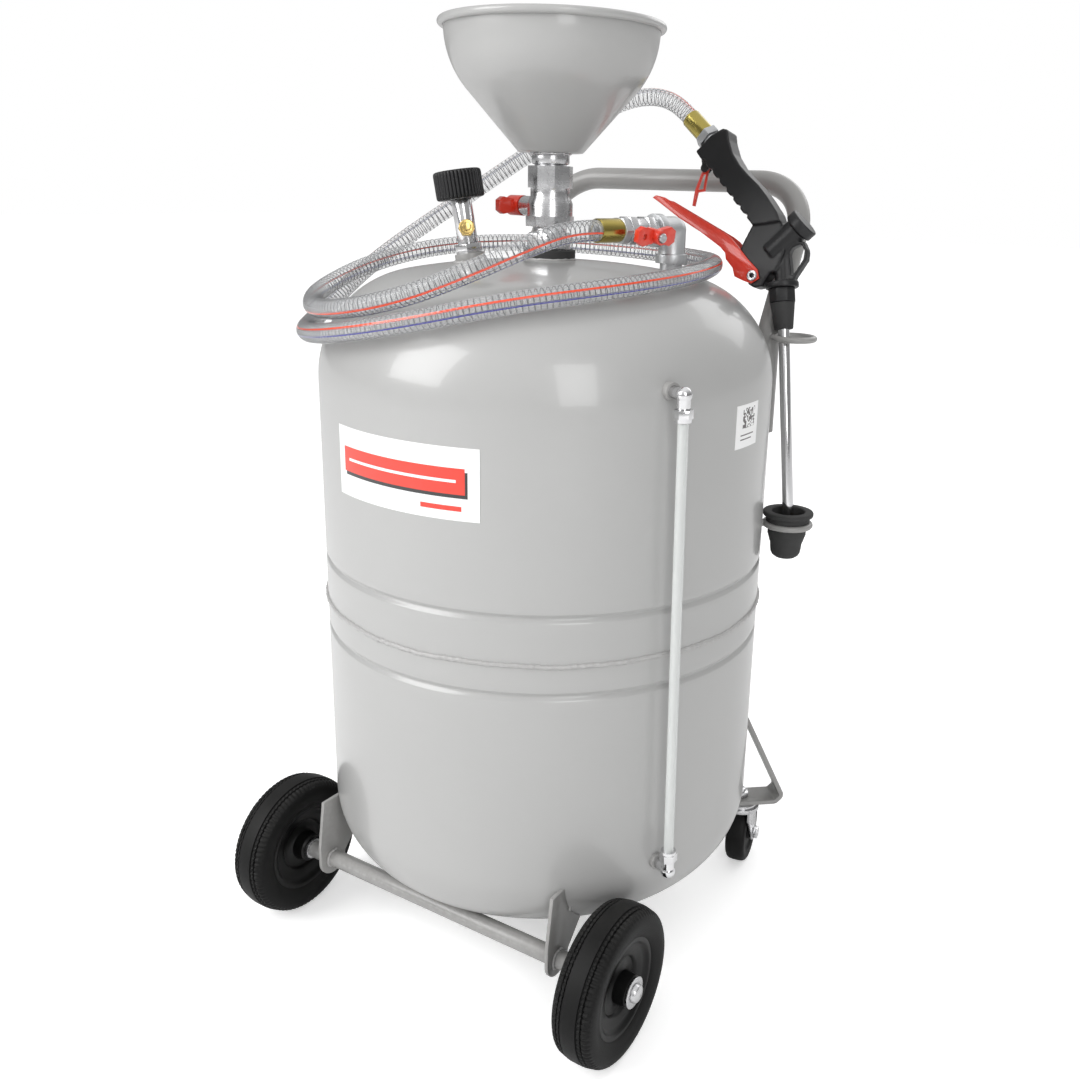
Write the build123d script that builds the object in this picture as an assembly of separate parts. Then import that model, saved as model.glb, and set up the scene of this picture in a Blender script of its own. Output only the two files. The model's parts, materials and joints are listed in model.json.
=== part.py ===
from build123d import *
import os
from math import atan2, cos, degrees, hypot, pi, radians, sin, sqrt, tan

# Portable bead seater air tank: a 100 litre air receiver on two wheels and two casters, with a
# filling funnel, a dump valve, a sight tube, a carrying handle and a blow gun on a clear hose.
# Lengths are millimetres. Every piece is made with the tank's axis on X = Y = 0 and the floor at
# Z = 0. The front of the tank faces -Y. export_part then moves each piece by ROW_SHIFT, so that
# the origin is on the floor under the middle of the whole object.
ROW_SHIFT = (-5.5, -9.4, 0)

# ---- Driving dimensions -----------------------------------------------------------------------
TANK_RADIUS = 230.0
TANK_WALL = 3.0
SHELL_BOTTOM = 154.0
SHELL_TOP = 602.0
TOP_KNUCKLE, TOP_CROWN = 105.0, 800.0
BOTTOM_KNUCKLE, BOTTOM_CROWN = 79.0, 400.0
GROOVE_HEIGHTS = (347.3, 422.7)
GROOVE_DEPTH, GROOVE_HALF = 3.0, 4.0
BEAD_HEIGHT, BEAD_DEPTH, BEAD_HALF = 378.0, 2.2, 3.0
RUN = 0.1            # radial clearance of a shaft in its bore
SKIN = 0.3           # gap between neighbouring curved faces

WHEEL_X, WHEEL_Y = 206.0, -186.3
WHEEL_RADIUS, WHEEL_HALF = 75.0, 21.5
RIM_RADIUS = 48.0
AXLE_RADIUS, AXLE_HALF = 6.0, 234.0
AXLE_TUBE_RADIUS, AXLE_TUBE_HALF = 9.0, 178.0
BRACKETS = ((-151.0, 4.0), (145.0, 4.0))

CASTER_ANGLE = 40.3
CASTER_REACH = 240.0
CASTER_TRAIL, TRAIL_ANGLE = 16.0, 100.0
CASTER_RADIUS, CASTER_HALF = 37.5, 12.0
STRAP_WIDTH, STRAP_THICK = 32.0, 5.0
STRAP_UNDERSIDE = 88.0

HANDLE_RADIUS, HANDLE_WALL = 12.5, 2.0
HANDLE_HALF = 167.5
HANDLE_FOOT, HANDLE_KNEE, HANDLE_TOP = 535.0, 641.0, 800.0
HANDLE_BACK = 268.0
HANDLE_BEND = 60.0

RING_WIRE = 3.25
UPPER_RING, UPPER_RING_RADIUS = (201.5, 165.0, 641.5), 21.3
LOWER_RING, LOWER_RING_RADIUS = (223.8, 130.3, 449.0), 23.8

SIGHT_REACH = 250.0
SIGHT_TOP, SIGHT_TOP_ANGLE = 623.6, -28.7
SIGHT_BOTTOM, SIGHT_BOTTOM_ANGLE = 159.3, -26.8
SIGHT_TUBE = 4.75

SEAL_BOTTOM, SEAL_TOP = 719.5, 728.0
BORE, SPOUT_BORE = 12.0, 12.6
VALVE_BOTTOM, VALVE_TOP = 750.0, 807.4
BALL_HEIGHT, BALL_RADIUS = 769.0, 15.5
FUNNEL_HANDLE_ANGLE = 169.0
FUNNEL_BOTTOM, FUNNEL_RIM_HEIGHT = 819.5, 934.0
FUNNEL_FLOOR, FUNNEL_WALL_RADIUS, FUNNEL_CURVE = 32.25, 103.0, 85.0
FUNNEL_SHEET, FUNNEL_BEAD = 1.5, 3.7

OUTLET_X, OUTLET_Y, OUTLET_HEIGHT = 137.0, 2.0, 752.0
OUTLET_ANGLE = -106.0
FILLER_FOOT = (-58.0, -52.0, 712.0)
FILLER_LEAN = (-0.15, -0.06, 0.987)
FILLER_CAP_RADIUS, FILLER_CAP_HEIGHT = 23.5, 27.0

HOSE_RADIUS = 9.5
FERRULE_RADIUS, FERRULE_LENGTH = 10.6, 26.0
TAIL_RADIUS = 6.0

GUN_ORIGIN = (191.0, 163.0, 645.0)
GUN_PLANE = Plane(origin=GUN_ORIGIN, x_dir=(0.9796, 0.0378, 0.1973), z_dir=(0, -0.983, 0.188))
LANCE_RADIUS = 6.0
TRIGGER_PIVOT = (-28.1, 64.0)
CLIP_PIVOT = (-81.0, 189.6)
BARREL_LINE, BARREL_TURN = (-10.0, 86.5), 34.7
TRIGGER_TRAVEL = 20.0

# The hose lies in two loops round the dome, from the outlet's ferrule to the gun's. Its first and
# last points come from those two ferrules.
HOSE_ROUTE = [
    (84, -158, 739),
    (50, -190, 718),
    (-8, -212, 693),
    (-82, -214, 677),
    (-156, -176, 671),
    (-211, -112, 680),
    (-211, -30, 705),
    (-180, 48, 722),
    (-122, 120, 727),
    (-45, 168, 724),
    (42, 172, 720),
    (112, 134, 718),
    (155, 64, 718),
    (171, -30, 713),
    (148, -118, 706),
    (84, -190, 694),
    (2, -229, 673),
    (-84, -226, 657),
    (-166, -178, 647),
    (-220, -108, 650),
    (-240, -30, 684),
    (-236, 36, 720),
    (-204, 92, 760),
    (-144, 146, 816),
    (-82, 187, 862.5),
    (-36, 207.5, 885),
    (-8, 210.6, 888.6),
    (15, 209, 885),
]


# ---- Shapes used by more than one piece -------------------------------------------------------
def rod(start, axis, length, radius):
    """A round bar from start along axis."""
    return Plane(origin=start, z_dir=axis) * Cylinder(
        radius, length, align=(Align.CENTER, Align.CENTER, Align.MIN)
    )


def tube(start, axis, length, outer, inner):
    """A round bar with a hole right through it."""
    return rod(start, axis, length, outer) - rod(start, axis, length, inner)


def prism(start, axis, length, flats, sides=6):
    """A hexagonal or octagonal bar, sized across its flats."""
    section = RegularPolygon(flats / 2, sides, major_radius=False)
    return extrude(Plane(origin=start, z_dir=axis) * section, length)


def turned(points, start=(0, 0, 0), axis=(0, 0, 1)):
    """A solid of revolution from (radius, height) corners."""
    face = make_face(Plane.XZ * Polyline(*points, close=True))
    return Plane(origin=start, z_dir=axis) * revolve(face, Axis.Z)


def ahead(point, axis, distance):
    """The point that lies a distance along axis from a point."""
    return tuple(p + a * distance for p, a in zip(point, axis))


def level(angle, rise=0.0):
    """The unit direction at an angle about Z from +X, tilted up by rise degrees."""
    flat = cos(radians(rise))
    return (flat * cos(radians(angle)), flat * sin(radians(angle)), sin(radians(rise)))


def polar(radius, angle, height):
    """The point at a radius and an angle round the tank's axis."""
    return (radius * cos(radians(angle)), radius * sin(radians(angle)), height)


def export_part(name, shape):
    """Writes one piece as parts/NAME.step in the object's own frame."""
    solids = shape.solids()
    moved = Pos(*ROW_SHIFT) * Compound(children=solids)
    moved.label = name
    export_step(moved, f"parts/{name}.step")


# ---- Tank -------------------------------------------------------------------------------------
def head_arcs(inset, shell_end, knuckle, crown, up):
    """Crown arc and knuckle arc of a dished head, from the axis to the shell, set in by inset."""
    knuckle_x = TANK_RADIUS - knuckle
    crown_z = shell_end - up * sqrt((crown - knuckle) ** 2 - knuckle_x**2)
    lean = atan2(knuckle_x, abs(shell_end - crown_z))
    small, large = knuckle - inset, crown - inset

    def on_crown(angle):
        return (large * sin(angle), crown_z + up * large * cos(angle))

    def on_knuckle(angle):
        return (knuckle_x + small * sin(angle), shell_end + up * small * cos(angle))

    crown_arc = ThreePointArc(on_crown(0), on_crown(lean / 2), on_crown(lean))
    knuckle_arc = ThreePointArc(
        on_knuckle(lean), on_knuckle((lean + pi / 2) / 2), on_knuckle(pi / 2)
    )
    return crown_arc, knuckle_arc


def tank_face(inset, bead):
    """Half section of the tank, set in by inset, with its rolled grooves and its weld bead."""
    top_crown, top_knuckle = head_arcs(inset, SHELL_TOP, TOP_KNUCKLE, TOP_CROWN, 1)
    low_crown, low_knuckle = head_arcs(inset, SHELL_BOTTOM, BOTTOM_KNUCKLE, BOTTOM_CROWN, -1)
    wall = TANK_RADIUS - inset
    bands = [(height, GROOVE_HALF, -GROOVE_DEPTH) for height in GROOVE_HEIGHTS]
    if bead:
        bands.append((BEAD_HEIGHT, BEAD_HALF, BEAD_DEPTH))
    edges = [top_crown, top_knuckle, low_crown, low_knuckle]
    height = SHELL_BOTTOM
    for middle, half, out in sorted(bands):
        edges.append(Line((wall, height), (wall, middle - half)))
        edges.append(
            ThreePointArc((wall, middle - half), (wall + out, middle), (wall, middle + half))
        )
        height = middle + half
    edges.append(Line((wall, height), (wall, SHELL_TOP)))
    edges.append(Line(top_crown @ 0, low_crown @ 0))
    return make_face(Plane.XZ * Curve(children=edges))


def dome_height(radius):
    """Height of the tank's top over a radius that lies on the crown."""
    crown_z = SHELL_TOP - sqrt((TOP_CROWN - TOP_KNUCKLE) ** 2 - (TANK_RADIUS - TOP_KNUCKLE) ** 2)
    return crown_z + sqrt(TOP_CROWN**2 - radius**2)


TANK_OUTSIDE = revolve(tank_face(0, True), Axis.Z)
TANK_INSIDE = revolve(tank_face(TANK_WALL, False), Axis.Z)

OUTLET_FOOT = (OUTLET_X, OUTLET_Y, dome_height(hypot(OUTLET_X, OUTLET_Y)) - 6)
SIGHT_FEET = (
    polar(TANK_RADIUS - 7, SIGHT_BOTTOM_ANGLE, SIGHT_BOTTOM),
    polar(TANK_RADIUS - 7, SIGHT_TOP_ANGLE, SIGHT_TOP),
)
SIGHT_LEVELS = (level(SIGHT_BOTTOM_ANGLE), level(SIGHT_TOP_ANGLE))
BOSSES = (
    ((0, 0, SEAL_BOTTOM - 12), (0, 0, 1), 12.0, 24.0, 16.5),
    (FILLER_FOOT, FILLER_LEAN, 11.0, 15.0, 6.5),
    (OUTLET_FOOT, (0, 0, 1), 13.0, 13.0, 8.0),
    (SIGHT_FEET[0], SIGHT_LEVELS[0], 11.0, 8.0, 3.0),
    (SIGHT_FEET[1], SIGHT_LEVELS[1], 11.0, 8.0, 3.0),
)


def tank_shell():
    """Rolled shell and two dished heads, welded, with a hole for each boss."""
    shell = TANK_OUTSIDE - TANK_INSIDE
    for start, axis, length, outer, _ in BOSSES:
        shell -= rod(start, axis, length, outer)
    return shell


def tank_bosses():
    """The five threaded bosses that are welded into the tank."""
    return Compound(
        children=[tube(start, axis, length, outer, inner) for start, axis, length, outer, inner in BOSSES]
    )


# ---- Labels -----------------------------------------------------------------------------------
def label(angle, half_angle, low, high):
    """A thin printed label that is wrapped on the tank."""
    skin = revolve(
        make_face(
            Plane.XZ
            * Polyline(
                (TANK_RADIUS, low),
                (TANK_RADIUS + 0.4, low),
                (TANK_RADIUS + 0.4, high),
                (TANK_RADIUS, high),
                close=True,
            )
        ),
        Axis.Z,
        2 * half_angle,
    )
    return Rot(0, 0, angle - half_angle) * skin


def labels():
    """The front label and the small side label."""
    front = label(-91.0, 21.0, 509.0, 574.0)
    side = label(-2.0, 5.5, 572.0, 601.5)
    return Compound(children=[front, side])


# ---- Front axle and wheels --------------------------------------------------------------------
def axle_brackets():
    """The two plates that hold the axle under the tank."""
    plates = []
    for middle, thick in BRACKETS:
        low = WHEEL_RADIUS
        outline = make_face(
            Polyline(
                (WHEEL_Y - 18, low),
                (WHEEL_Y - 18, low + 20),
                (WHEEL_Y - 10, low + 72),
                (WHEEL_Y + 46, low + 72),
                (WHEEL_Y + 46, low + 30),
                (WHEEL_Y + 18, low),
                close=True,
            )
        ) + Pos(WHEEL_Y, low) * Circle(18)
        outline -= Pos(WHEEL_Y, low) * Circle(AXLE_TUBE_RADIUS)
        plate = extrude(Plane.YZ.offset(middle - thick / 2) * outline, thick)
        plates.append(plate - TANK_OUTSIDE)
    return Compound(children=plates)


def axle_tube():
    """The cross tube that the axle runs in, saddled where it is welded under the tank."""
    start = (-AXLE_TUBE_HALF, WHEEL_Y, WHEEL_RADIUS)
    length = 2 * AXLE_TUBE_HALF
    body = tube(start, (1, 0, 0), length, AXLE_TUBE_RADIUS, AXLE_RADIUS + RUN)
    return body - TANK_OUTSIDE


def axle_rod():
    """The axle itself, right across the tank."""
    return rod((-AXLE_HALF, WHEEL_Y, WHEEL_RADIUS), (1, 0, 0), 2 * AXLE_HALF, AXLE_RADIUS)


def axle_caps():
    """A washer and a domed push-on cap outside each wheel, and a spacer inside it."""
    pieces = []
    for side in (-1, 1):
        out = (side, 0, 0)
        foot = (side * (WHEEL_X + 24.3), WHEEL_Y, WHEEL_RADIUS)
        pieces.append(tube(foot, out, 2.0, 15.0, AXLE_RADIUS))
        cap = [(0, 3.7), (0, 8.2), (4, 7.8), (8, 6), (9.5, 2.1), (AXLE_RADIUS, 2.1), (AXLE_RADIUS, 3.7)]
        pieces.append(turned(cap, foot, out))
        spacer = (side * (AXLE_TUBE_HALF + 0.2), WHEEL_Y, WHEEL_RADIUS)
        pieces.append(tube(spacer, out, 3.3, 11.0, AXLE_RADIUS))
    return Compound(children=pieces)


def wheel_plane(side):
    """Wheel centre, with its axis pointing away from the tank."""
    return (side * WHEEL_X, WHEEL_Y, WHEEL_RADIUS), (side, 0, 0)


def wheel_tyre(side):
    """Solid rubber tyre with a ribbed tread and a smooth band round its middle."""
    rib, rim = 1.2, RIM_RADIUS
    half = [(rim, 17.0), (60.0, WHEEL_HALF), (69.0, 19.8)]
    tread = [(73.2, 16.0), (73.2 - rib, 15.2), (73.2 - rib, 12.8), (74.3, 12.0)]
    tread += [(74.3 - rib, 10.6), (74.3 - rib, 8.4), (WHEEL_RADIUS, 7.4)]
    upper = half + tread
    lower = [(radius, -along) for radius, along in reversed(upper)]
    return turned(upper + lower, *wheel_plane(side))


def wheel_disc(side):
    """Moulded wheel centre with stepped faces and a long hub."""
    bore = AXLE_RADIUS + RUN
    upper = [(bore, 24.0), (15.0, 24.0), (17.0, 9.0), (27.0, 7.0), (29.0, 11.5)]
    upper += [(41.0, 13.0), (44.0, 17.0), (RIM_RADIUS, 17.0)]
    lower = [(radius, -along) for radius, along in reversed(upper)]
    return turned(upper + lower, *wheel_plane(side))


# ---- Casters ----------------------------------------------------------------------------------
def caster_straps():
    """Two flat bars, bent out from the side of the tank and in again under it."""
    corner = CASTER_REACH + 46
    under = STRAP_UNDERSIDE + STRAP_THICK / 2
    route = FilletPolyline(
        (TANK_RADIUS + 2.8, 0, 238),
        (TANK_RADIUS + 2.8, 0, 208),
        (corner, 0, under + 8),
        (corner - 8, 0, under),
        (180, 0, under),
        radius=[14, 6, 6],
    )
    section = Plane(origin=route @ 0, x_dir=(0, 1, 0), z_dir=route % 0)
    section = section * Rectangle(STRAP_WIDTH, STRAP_THICK)
    bar = sweep(section, route) - TANK_OUTSIDE
    bar = max(bar.solids(), key=lambda solid: solid.volume)
    bar -= rod((CASTER_REACH, 0, STRAP_UNDERSIDE - 1), (0, 0, 1), 7, 5.2)
    sides = (CASTER_ANGLE, 180 - CASTER_ANGLE)
    return Compound(children=[Rot(0, 0, angle) * bar for angle in sides])


def swivel(side):
    """Middle of a caster's swivel, on the floor."""
    angle = CASTER_ANGLE if side > 0 else 180 - CASTER_ANGLE
    return polar(CASTER_REACH, angle, 0)


def trail_direction(side):
    """Direction in which a caster's wheel trails from its swivel."""
    return level(TRAIL_ANGLE if side > 0 else 180 - TRAIL_ANGLE)


def caster_stems():
    """Kingpins: a bolt down through the strap, its nut on top and the fixed race below."""
    pieces = []
    for side in (-1, 1):
        x, y, _ = swivel(side)
        stem = rod((x, y, 79.0), (0, 0, 1), 24.0, 5.0)
        stem += prism((x, y, STRAP_UNDERSIDE + STRAP_THICK), (0, 0, 1), 6.5, 16.0)
        stem += rod((x, y, 84.2), (0, 0, 1), STRAP_UNDERSIDE - 84.2, 20.0)
        stem += rod((x, y, 76.6), (0, 0, 1), 2.6, 9.0)
        pieces.append(stem)
    return Compound(children=pieces)


def caster_fork(side):
    """Pressed fork: a round race plate on top and one leg each side of the wheel."""
    legs = make_face(
        Polyline((-17, 83), (17, 83), (21, 70), (26, 37.5), (6, 37.5), (-15, 68), close=True)
    )
    legs += Pos(CASTER_TRAIL, CASTER_RADIUS) * Circle(10)
    legs -= Pos(CASTER_TRAIL, CASTER_RADIUS) * Circle(4.0)
    fork = Part()
    for start in (13.0, -15.5):
        fork += extrude(Plane.YZ.offset(start) * legs, 2.5)
    top = rod((0, 0, 79.5), (0, 0, 1), 4.4, 22.0)
    top += Pos(0, 0, 81.4) * Box(31.0, 34.0, 3.0)
    fork += top
    fork -= rod((0, 0, 76), (0, 0, 1), 10, 5.0 + RUN)
    x, y, _ = swivel(side)
    heading = trail_direction(side)
    return Plane(origin=(x, y, 0), x_dir=(heading[1], -heading[0], 0), z_dir=(0, 0, 1)) * fork


def caster_wheel_place(side):
    """Centre and axle direction of a caster's wheel."""
    centre = ahead(swivel(side), trail_direction(side), CASTER_TRAIL)
    heading = trail_direction(side)
    return (centre[0], centre[1], CASTER_RADIUS), (side * heading[1], -side * heading[0], 0)


def caster_wheel(side):
    """Hard rubber wheel with a rounded tread and a recessed centre."""
    upper = [(4.0 + RUN, 12.3), (9.0, 12.3), (10.0, 9.0), (23.0, 8.0), (25.0, 10.6)]
    upper += [(34.0, CASTER_HALF - 1), (36.8, 7.0), (CASTER_RADIUS, 3.0)]
    lower = [(radius, -along) for radius, along in reversed(upper)]
    return turned(upper + lower, *caster_wheel_place(side))


def caster_axle(side):
    """Axle bolt of a caster wheel, with its head inside and its nut outside."""
    centre, out = caster_wheel_place(side)
    foot = ahead(centre, out, -19.0)
    axle = rod(foot, out, 40.0, 4.0)
    axle += prism(foot, out, 3.4, 12.5)
    axle += prism(ahead(centre, out, 15.6), out, 5.0, 13.0)
    return axle


# ---- Carrying handle and gun holder -----------------------------------------------------------
HANDLE_LEG = sqrt((TANK_RADIUS + HANDLE_RADIUS + 0.03) ** 2 - HANDLE_HALF**2)


def handle_route():
    """Centre line of the handle: up the tank, back over it and across."""
    half = HANDLE_HALF
    return FilletPolyline(
        (-half, HANDLE_LEG, HANDLE_FOOT),
        (-half, HANDLE_LEG, HANDLE_KNEE),
        (-half, HANDLE_BACK, HANDLE_TOP),
        (half, HANDLE_BACK, HANDLE_TOP),
        (half, HANDLE_LEG, HANDLE_KNEE),
        (half, HANDLE_LEG, HANDLE_FOOT),
        radius=HANDLE_BEND,
    )


def handle_tube():
    """Bent carrying and pushing handle, with its two feet plugged."""
    route = handle_route()
    foot = Plane(origin=route @ 0, z_dir=route % 0)
    outside = sweep(foot * Circle(HANDLE_RADIUS), route)
    inside = sweep(foot * Circle(HANDLE_RADIUS - HANDLE_WALL), route)
    handle = outside - inside
    for side in (-1, 1):
        start = (side * HANDLE_HALF, HANDLE_LEG, HANDLE_FOOT)
        handle += rod(start, (0, 0, 1), 2.0, HANDLE_RADIUS - 0.5)
    return handle


def holder_rings():
    """Two wire rings that hold the gun's lance: one on the handle, one over the rubber cup."""
    leg = rod((HANDLE_HALF, HANDLE_LEG, HANDLE_FOOT), (0, 0, 1), 260, HANDLE_RADIUS)
    upper = Pos(*UPPER_RING) * Torus(UPPER_RING_RADIUS, RING_WIRE) - leg
    upper = max(upper.solids(), key=lambda solid: solid.volume)
    angle = degrees(atan2(LOWER_RING[1], LOWER_RING[0]))
    inner = hypot(LOWER_RING[0], LOWER_RING[1]) - LOWER_RING_RADIUS
    stub = rod(polar(TANK_RADIUS - 1, angle, LOWER_RING[2]), level(angle), inner - TANK_RADIUS + 1, 4.2)
    lower = Pos(*LOWER_RING) * Torus(LOWER_RING_RADIUS, RING_WIRE) + stub
    return Compound(children=[upper, lower - TANK_OUTSIDE])


def rubber_cup():
    """Rubber cup that hangs in the lower ring and takes the tip of the lance."""
    rim = 463.5
    profile = [
        (0, 411.0), (9.0, 412.0), (14.5, 416.0), (16.4, 422.0), (17.25, 429.0), (20.4, 437.5),
        (20.4, LOWER_RING[2] + RING_WIRE + 0.05), (23.35, LOWER_RING[2] + RING_WIRE + 0.05),
        (23.35, rim - 5.5), (26.9, rim - 5.0), (26.9, rim - 0.8), (26.0, rim), (17.5, rim),
        (16.0, 436.0), (13.0, 424.0), (9.0, 417.5), (0, 416.5),
    ]
    return turned(profile, (LOWER_RING[0], LOWER_RING[1], 0))


# ---- Sight gauge ------------------------------------------------------------------------------
SIGHT_CORNERS = (
    polar(SIGHT_REACH, SIGHT_BOTTOM_ANGLE, SIGHT_BOTTOM),
    polar(SIGHT_REACH, SIGHT_TOP_ANGLE, SIGHT_TOP),
)
SIGHT_UP = tuple((Vector(*SIGHT_CORNERS[1]) - Vector(*SIGHT_CORNERS[0])).normalized())
SIGHT_LEGS = ((SIGHT_CORNERS[0], SIGHT_UP), (SIGHT_CORNERS[1], tuple(-part for part in SIGHT_UP)))


def sight_elbows():
    """The elbow fittings at both ends of the sight tube."""
    elbows = []
    for foot, out, (corner, leg) in zip(SIGHT_FEET, SIGHT_LEVELS, SIGHT_LEGS):
        start = ahead(foot, out, 6.0)
        reach = SIGHT_REACH - TANK_RADIUS + 1
        elbow = rod(ahead(foot, out, 11.2), out, reach - 5.2, 5.5) + rod(start, out, 10, 3.0)
        elbow += Pos(*corner) * Sphere(7.2)
        elbow += rod(corner, leg, 12.0, 6.0)
        elbow -= rod(ahead(corner, leg, 3.0), leg, 12.0, SIGHT_TUBE - 1.2)
        elbows.append(elbow)
    return Compound(children=elbows)


def sight_nuts():
    """The hexagon nuts and collars that clamp the sight tube."""
    nuts = []
    for corner, leg in SIGHT_LEGS:
        foot = ahead(corner, leg, 12.2)
        nut = prism(foot, leg, 8.0, 15.0) + rod(ahead(foot, leg, 8.0), leg, 3.0, 7.4)
        nuts.append(nut - rod(foot, leg, 12.0, SIGHT_TUBE))
    return Compound(children=nuts)


def sight_tube():
    """Clear level tube between the two elbows."""
    length = (Vector(*SIGHT_CORNERS[1]) - Vector(*SIGHT_CORNERS[0])).length
    return tube(ahead(SIGHT_CORNERS[0], SIGHT_UP, 12.2), SIGHT_UP, length - 24.4, SIGHT_TUBE, 3.2)


# ---- Funnel and its valve ---------------------------------------------------------------------
def centre_seal():
    """Black sealing ring on the tank's top boss."""
    return tube((0, 0, SEAL_BOTTOM), (0, 0, 1), SEAL_TOP - SEAL_BOTTOM, 26.0, 16.2)


def valve_adapter():
    """Double ended nipple between the top boss and the ball valve, with a hexagon in the middle."""
    body = rod((0, 0, SEAL_BOTTOM - 10), (0, 0, 1), SEAL_TOP - SEAL_BOTTOM + 10, 16.2)
    body += prism((0, 0, SEAL_TOP), (0, 0, 1), 16.0, 41.0)
    body += rod((0, 0, SEAL_TOP + 16), (0, 0, 1), 7.8, 16.2)
    return body - rod((0, 0, SEAL_BOTTOM - 11), (0, 0, 1), 45, BORE)


def funnel_valve_body():
    """Ball valve housing with an octagon at each end and a side neck for its stem."""
    body = prism((0, 0, VALVE_BOTTOM), (0, 0, 1), 10.0, 45.0, 8)
    barrel = [(0, 760), (22.5, 760), (22.5, 772), (19.5, 779), (19.5, 786.7), (0, 786.7)]
    body += turned(barrel)
    body += prism((0, 0, 786.7), (0, 0, 1), VALVE_TOP - 786.7, 41.5, 8)
    out = level(FUNNEL_HANDLE_ANGLE)
    body += rod((0, 0, BALL_HEIGHT), out, 36.0, 9.5)
    body -= rod((0, 0, VALVE_BOTTOM - 1), (0, 0, 1), 3.0, 16.2)
    body -= rod((0, 0, BALL_HEIGHT - 17), (0, 0, 1), 34.0, 18.0)
    body -= rod((0, 0, 795.0), (0, 0, 1), 13.0, 15.5)
    body -= rod((0, 0, VALVE_BOTTOM - 1), (0, 0, 1), 60.0, BORE)
    return body - rod((0, 0, BALL_HEIGHT), out, 40.0, 5.0 + RUN)


def ball_seats(centre, flow, ball, bore, near, depth):
    """Two soft rings that the ball is held between, from near to depth each side of its centre."""
    seats = []
    for end in (-1, 1):
        axis = tuple(end * part for part in flow)
        ring = tube(ahead(centre, axis, near), axis, depth - near, ball + 1.5, bore)
        ring -= Pos(*centre) * Sphere(ball + 0.1)
        seats.append(max(ring.solids(), key=lambda solid: solid.volume))
    return seats


def valve_ball(centre, flow, stem, ball, bore, stem_radius, stem_length):
    """Ball with its passage, and the stem that turns it. It is closed across the flow here."""
    piece = Pos(*centre) * Sphere(ball)
    piece += rod(centre, stem, stem_length, stem_radius)
    start = ahead(centre, flow, -ball - 1)
    return piece - rod(start, flow, 2 * ball + 2, bore)


def butterfly(hub, stem, wing, half, hub_radius, hub_length, bore):
    """Handle with a round hub and two flat wings, one of them with a hole."""
    plane = Plane(origin=hub, x_dir=wing, z_dir=stem)
    blade = make_face(
        Polyline(
            (hub_radius - 2, -6), (half - 6, -8.5), (half, -5), (half, 5), (half - 6, 8.5),
            (hub_radius - 2, 6), close=True,
        )
    )
    blade += Rot(0, 0, 180) * blade
    blade -= Pos(half - 8, 0) * Circle(2.6)
    height = hub_length * 0.32
    wings = extrude(plane.offset(-height / 2) * blade, height)
    body = rod(ahead(hub, stem, -hub_length / 2), stem, hub_length, hub_radius)
    return wings + body - rod(ahead(hub, stem, -hub_length / 2 - 1), stem, hub_length + 2, bore)


FUNNEL_STEM = level(FUNNEL_HANDLE_ANGLE)
FUNNEL_WING = level(FUNNEL_HANDLE_ANGLE - 90)


def funnel_valve_ball():
    """Ball and stem of the funnel's valve. The valve is shut, so the passage lies across."""
    return valve_ball((0, 0, BALL_HEIGHT), FUNNEL_WING, FUNNEL_STEM, BALL_RADIUS, 11.0, 5.0, 56.0)


def funnel_valve_handle():
    """Red butterfly handle of the funnel's valve, and the nut that holds it."""
    hub = polar(46.5, FUNNEL_HANDLE_ANGLE, BALL_HEIGHT)
    handle = butterfly(hub, FUNNEL_STEM, FUNNEL_WING, 28.0, 10.0, 18.0, 5.0)
    return handle


def funnel_nipple():
    """Threaded nipple and welded collar under the funnel."""
    foot, collar = 797.0, 809.0
    body = rod((0, 0, foot), (0, 0, 1), collar - foot, 15.5)
    body += rod((0, 0, collar), (0, 0, 1), FUNNEL_BOTTOM - collar, 18.5)
    return body - rod((0, 0, foot - 1), (0, 0, 1), 30.0, SPOUT_BORE)


def funnel():
    """Spun sheet funnel with a flat floor, a straight cone, a curved wall and a rolled rim."""
    lean = atan2(0.934, 1)
    setback = FUNNEL_CURVE * tan(lean / 2)
    corner_z = FUNNEL_RIM_HEIGHT - 2 - setback
    radius = FUNNEL_WALL_RADIUS
    foot = corner_z - (radius - FUNNEL_FLOOR) / tan(lean)
    wall = FilletPolyline(
        (SPOUT_BORE, FUNNEL_BOTTOM), (FUNNEL_FLOOR, FUNNEL_BOTTOM), (FUNNEL_FLOOR + 0.8, foot + 0.9),
        (radius, corner_z), (radius, FUNNEL_RIM_HEIGHT),
        radius=[0.4, 0.8, FUNNEL_CURVE - 2],
    )
    inner = offset(wall, FUNNEL_SHEET, side=Side.LEFT, closed=True)
    sheet = revolve(Plane.XZ * make_face(inner), Axis.Z)
    bead = Pos(0, 0, FUNNEL_RIM_HEIGHT) * Torus(radius + 2, FUNNEL_BEAD)
    return sheet + bead


# ---- Filler and safety valve ------------------------------------------------------------------
def filler_point(along):
    """A point on the filler's leaning axis."""
    return ahead(FILLER_FOOT, FILLER_LEAN, along)


FILLER_CAP_FOOT = 63.0
SAFETY_HEIGHT = 33.0
SAFETY_OUT = level(-50.0, 8.0)


def filler_neck():
    """Chromed neck of the filler, with the side port for the safety valve."""
    neck = rod(filler_point(4), FILLER_LEAN, 8.0, 6.5)
    neck += prism(filler_point(11), FILLER_LEAN, 9.0, 24.0)
    neck += rod(filler_point(20), FILLER_LEAN, 54.0, 10.0)
    neck += rod(filler_point(SAFETY_HEIGHT), SAFETY_OUT, 13.0, 6.5)
    neck -= rod(filler_point(3), FILLER_LEAN, 40.0, 4.0)
    neck -= rod(filler_point(42), FILLER_LEAN, 34.0, 7.0)
    return neck - rod(filler_point(SAFETY_HEIGHT), SAFETY_OUT, 14.0, 3.0)


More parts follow.
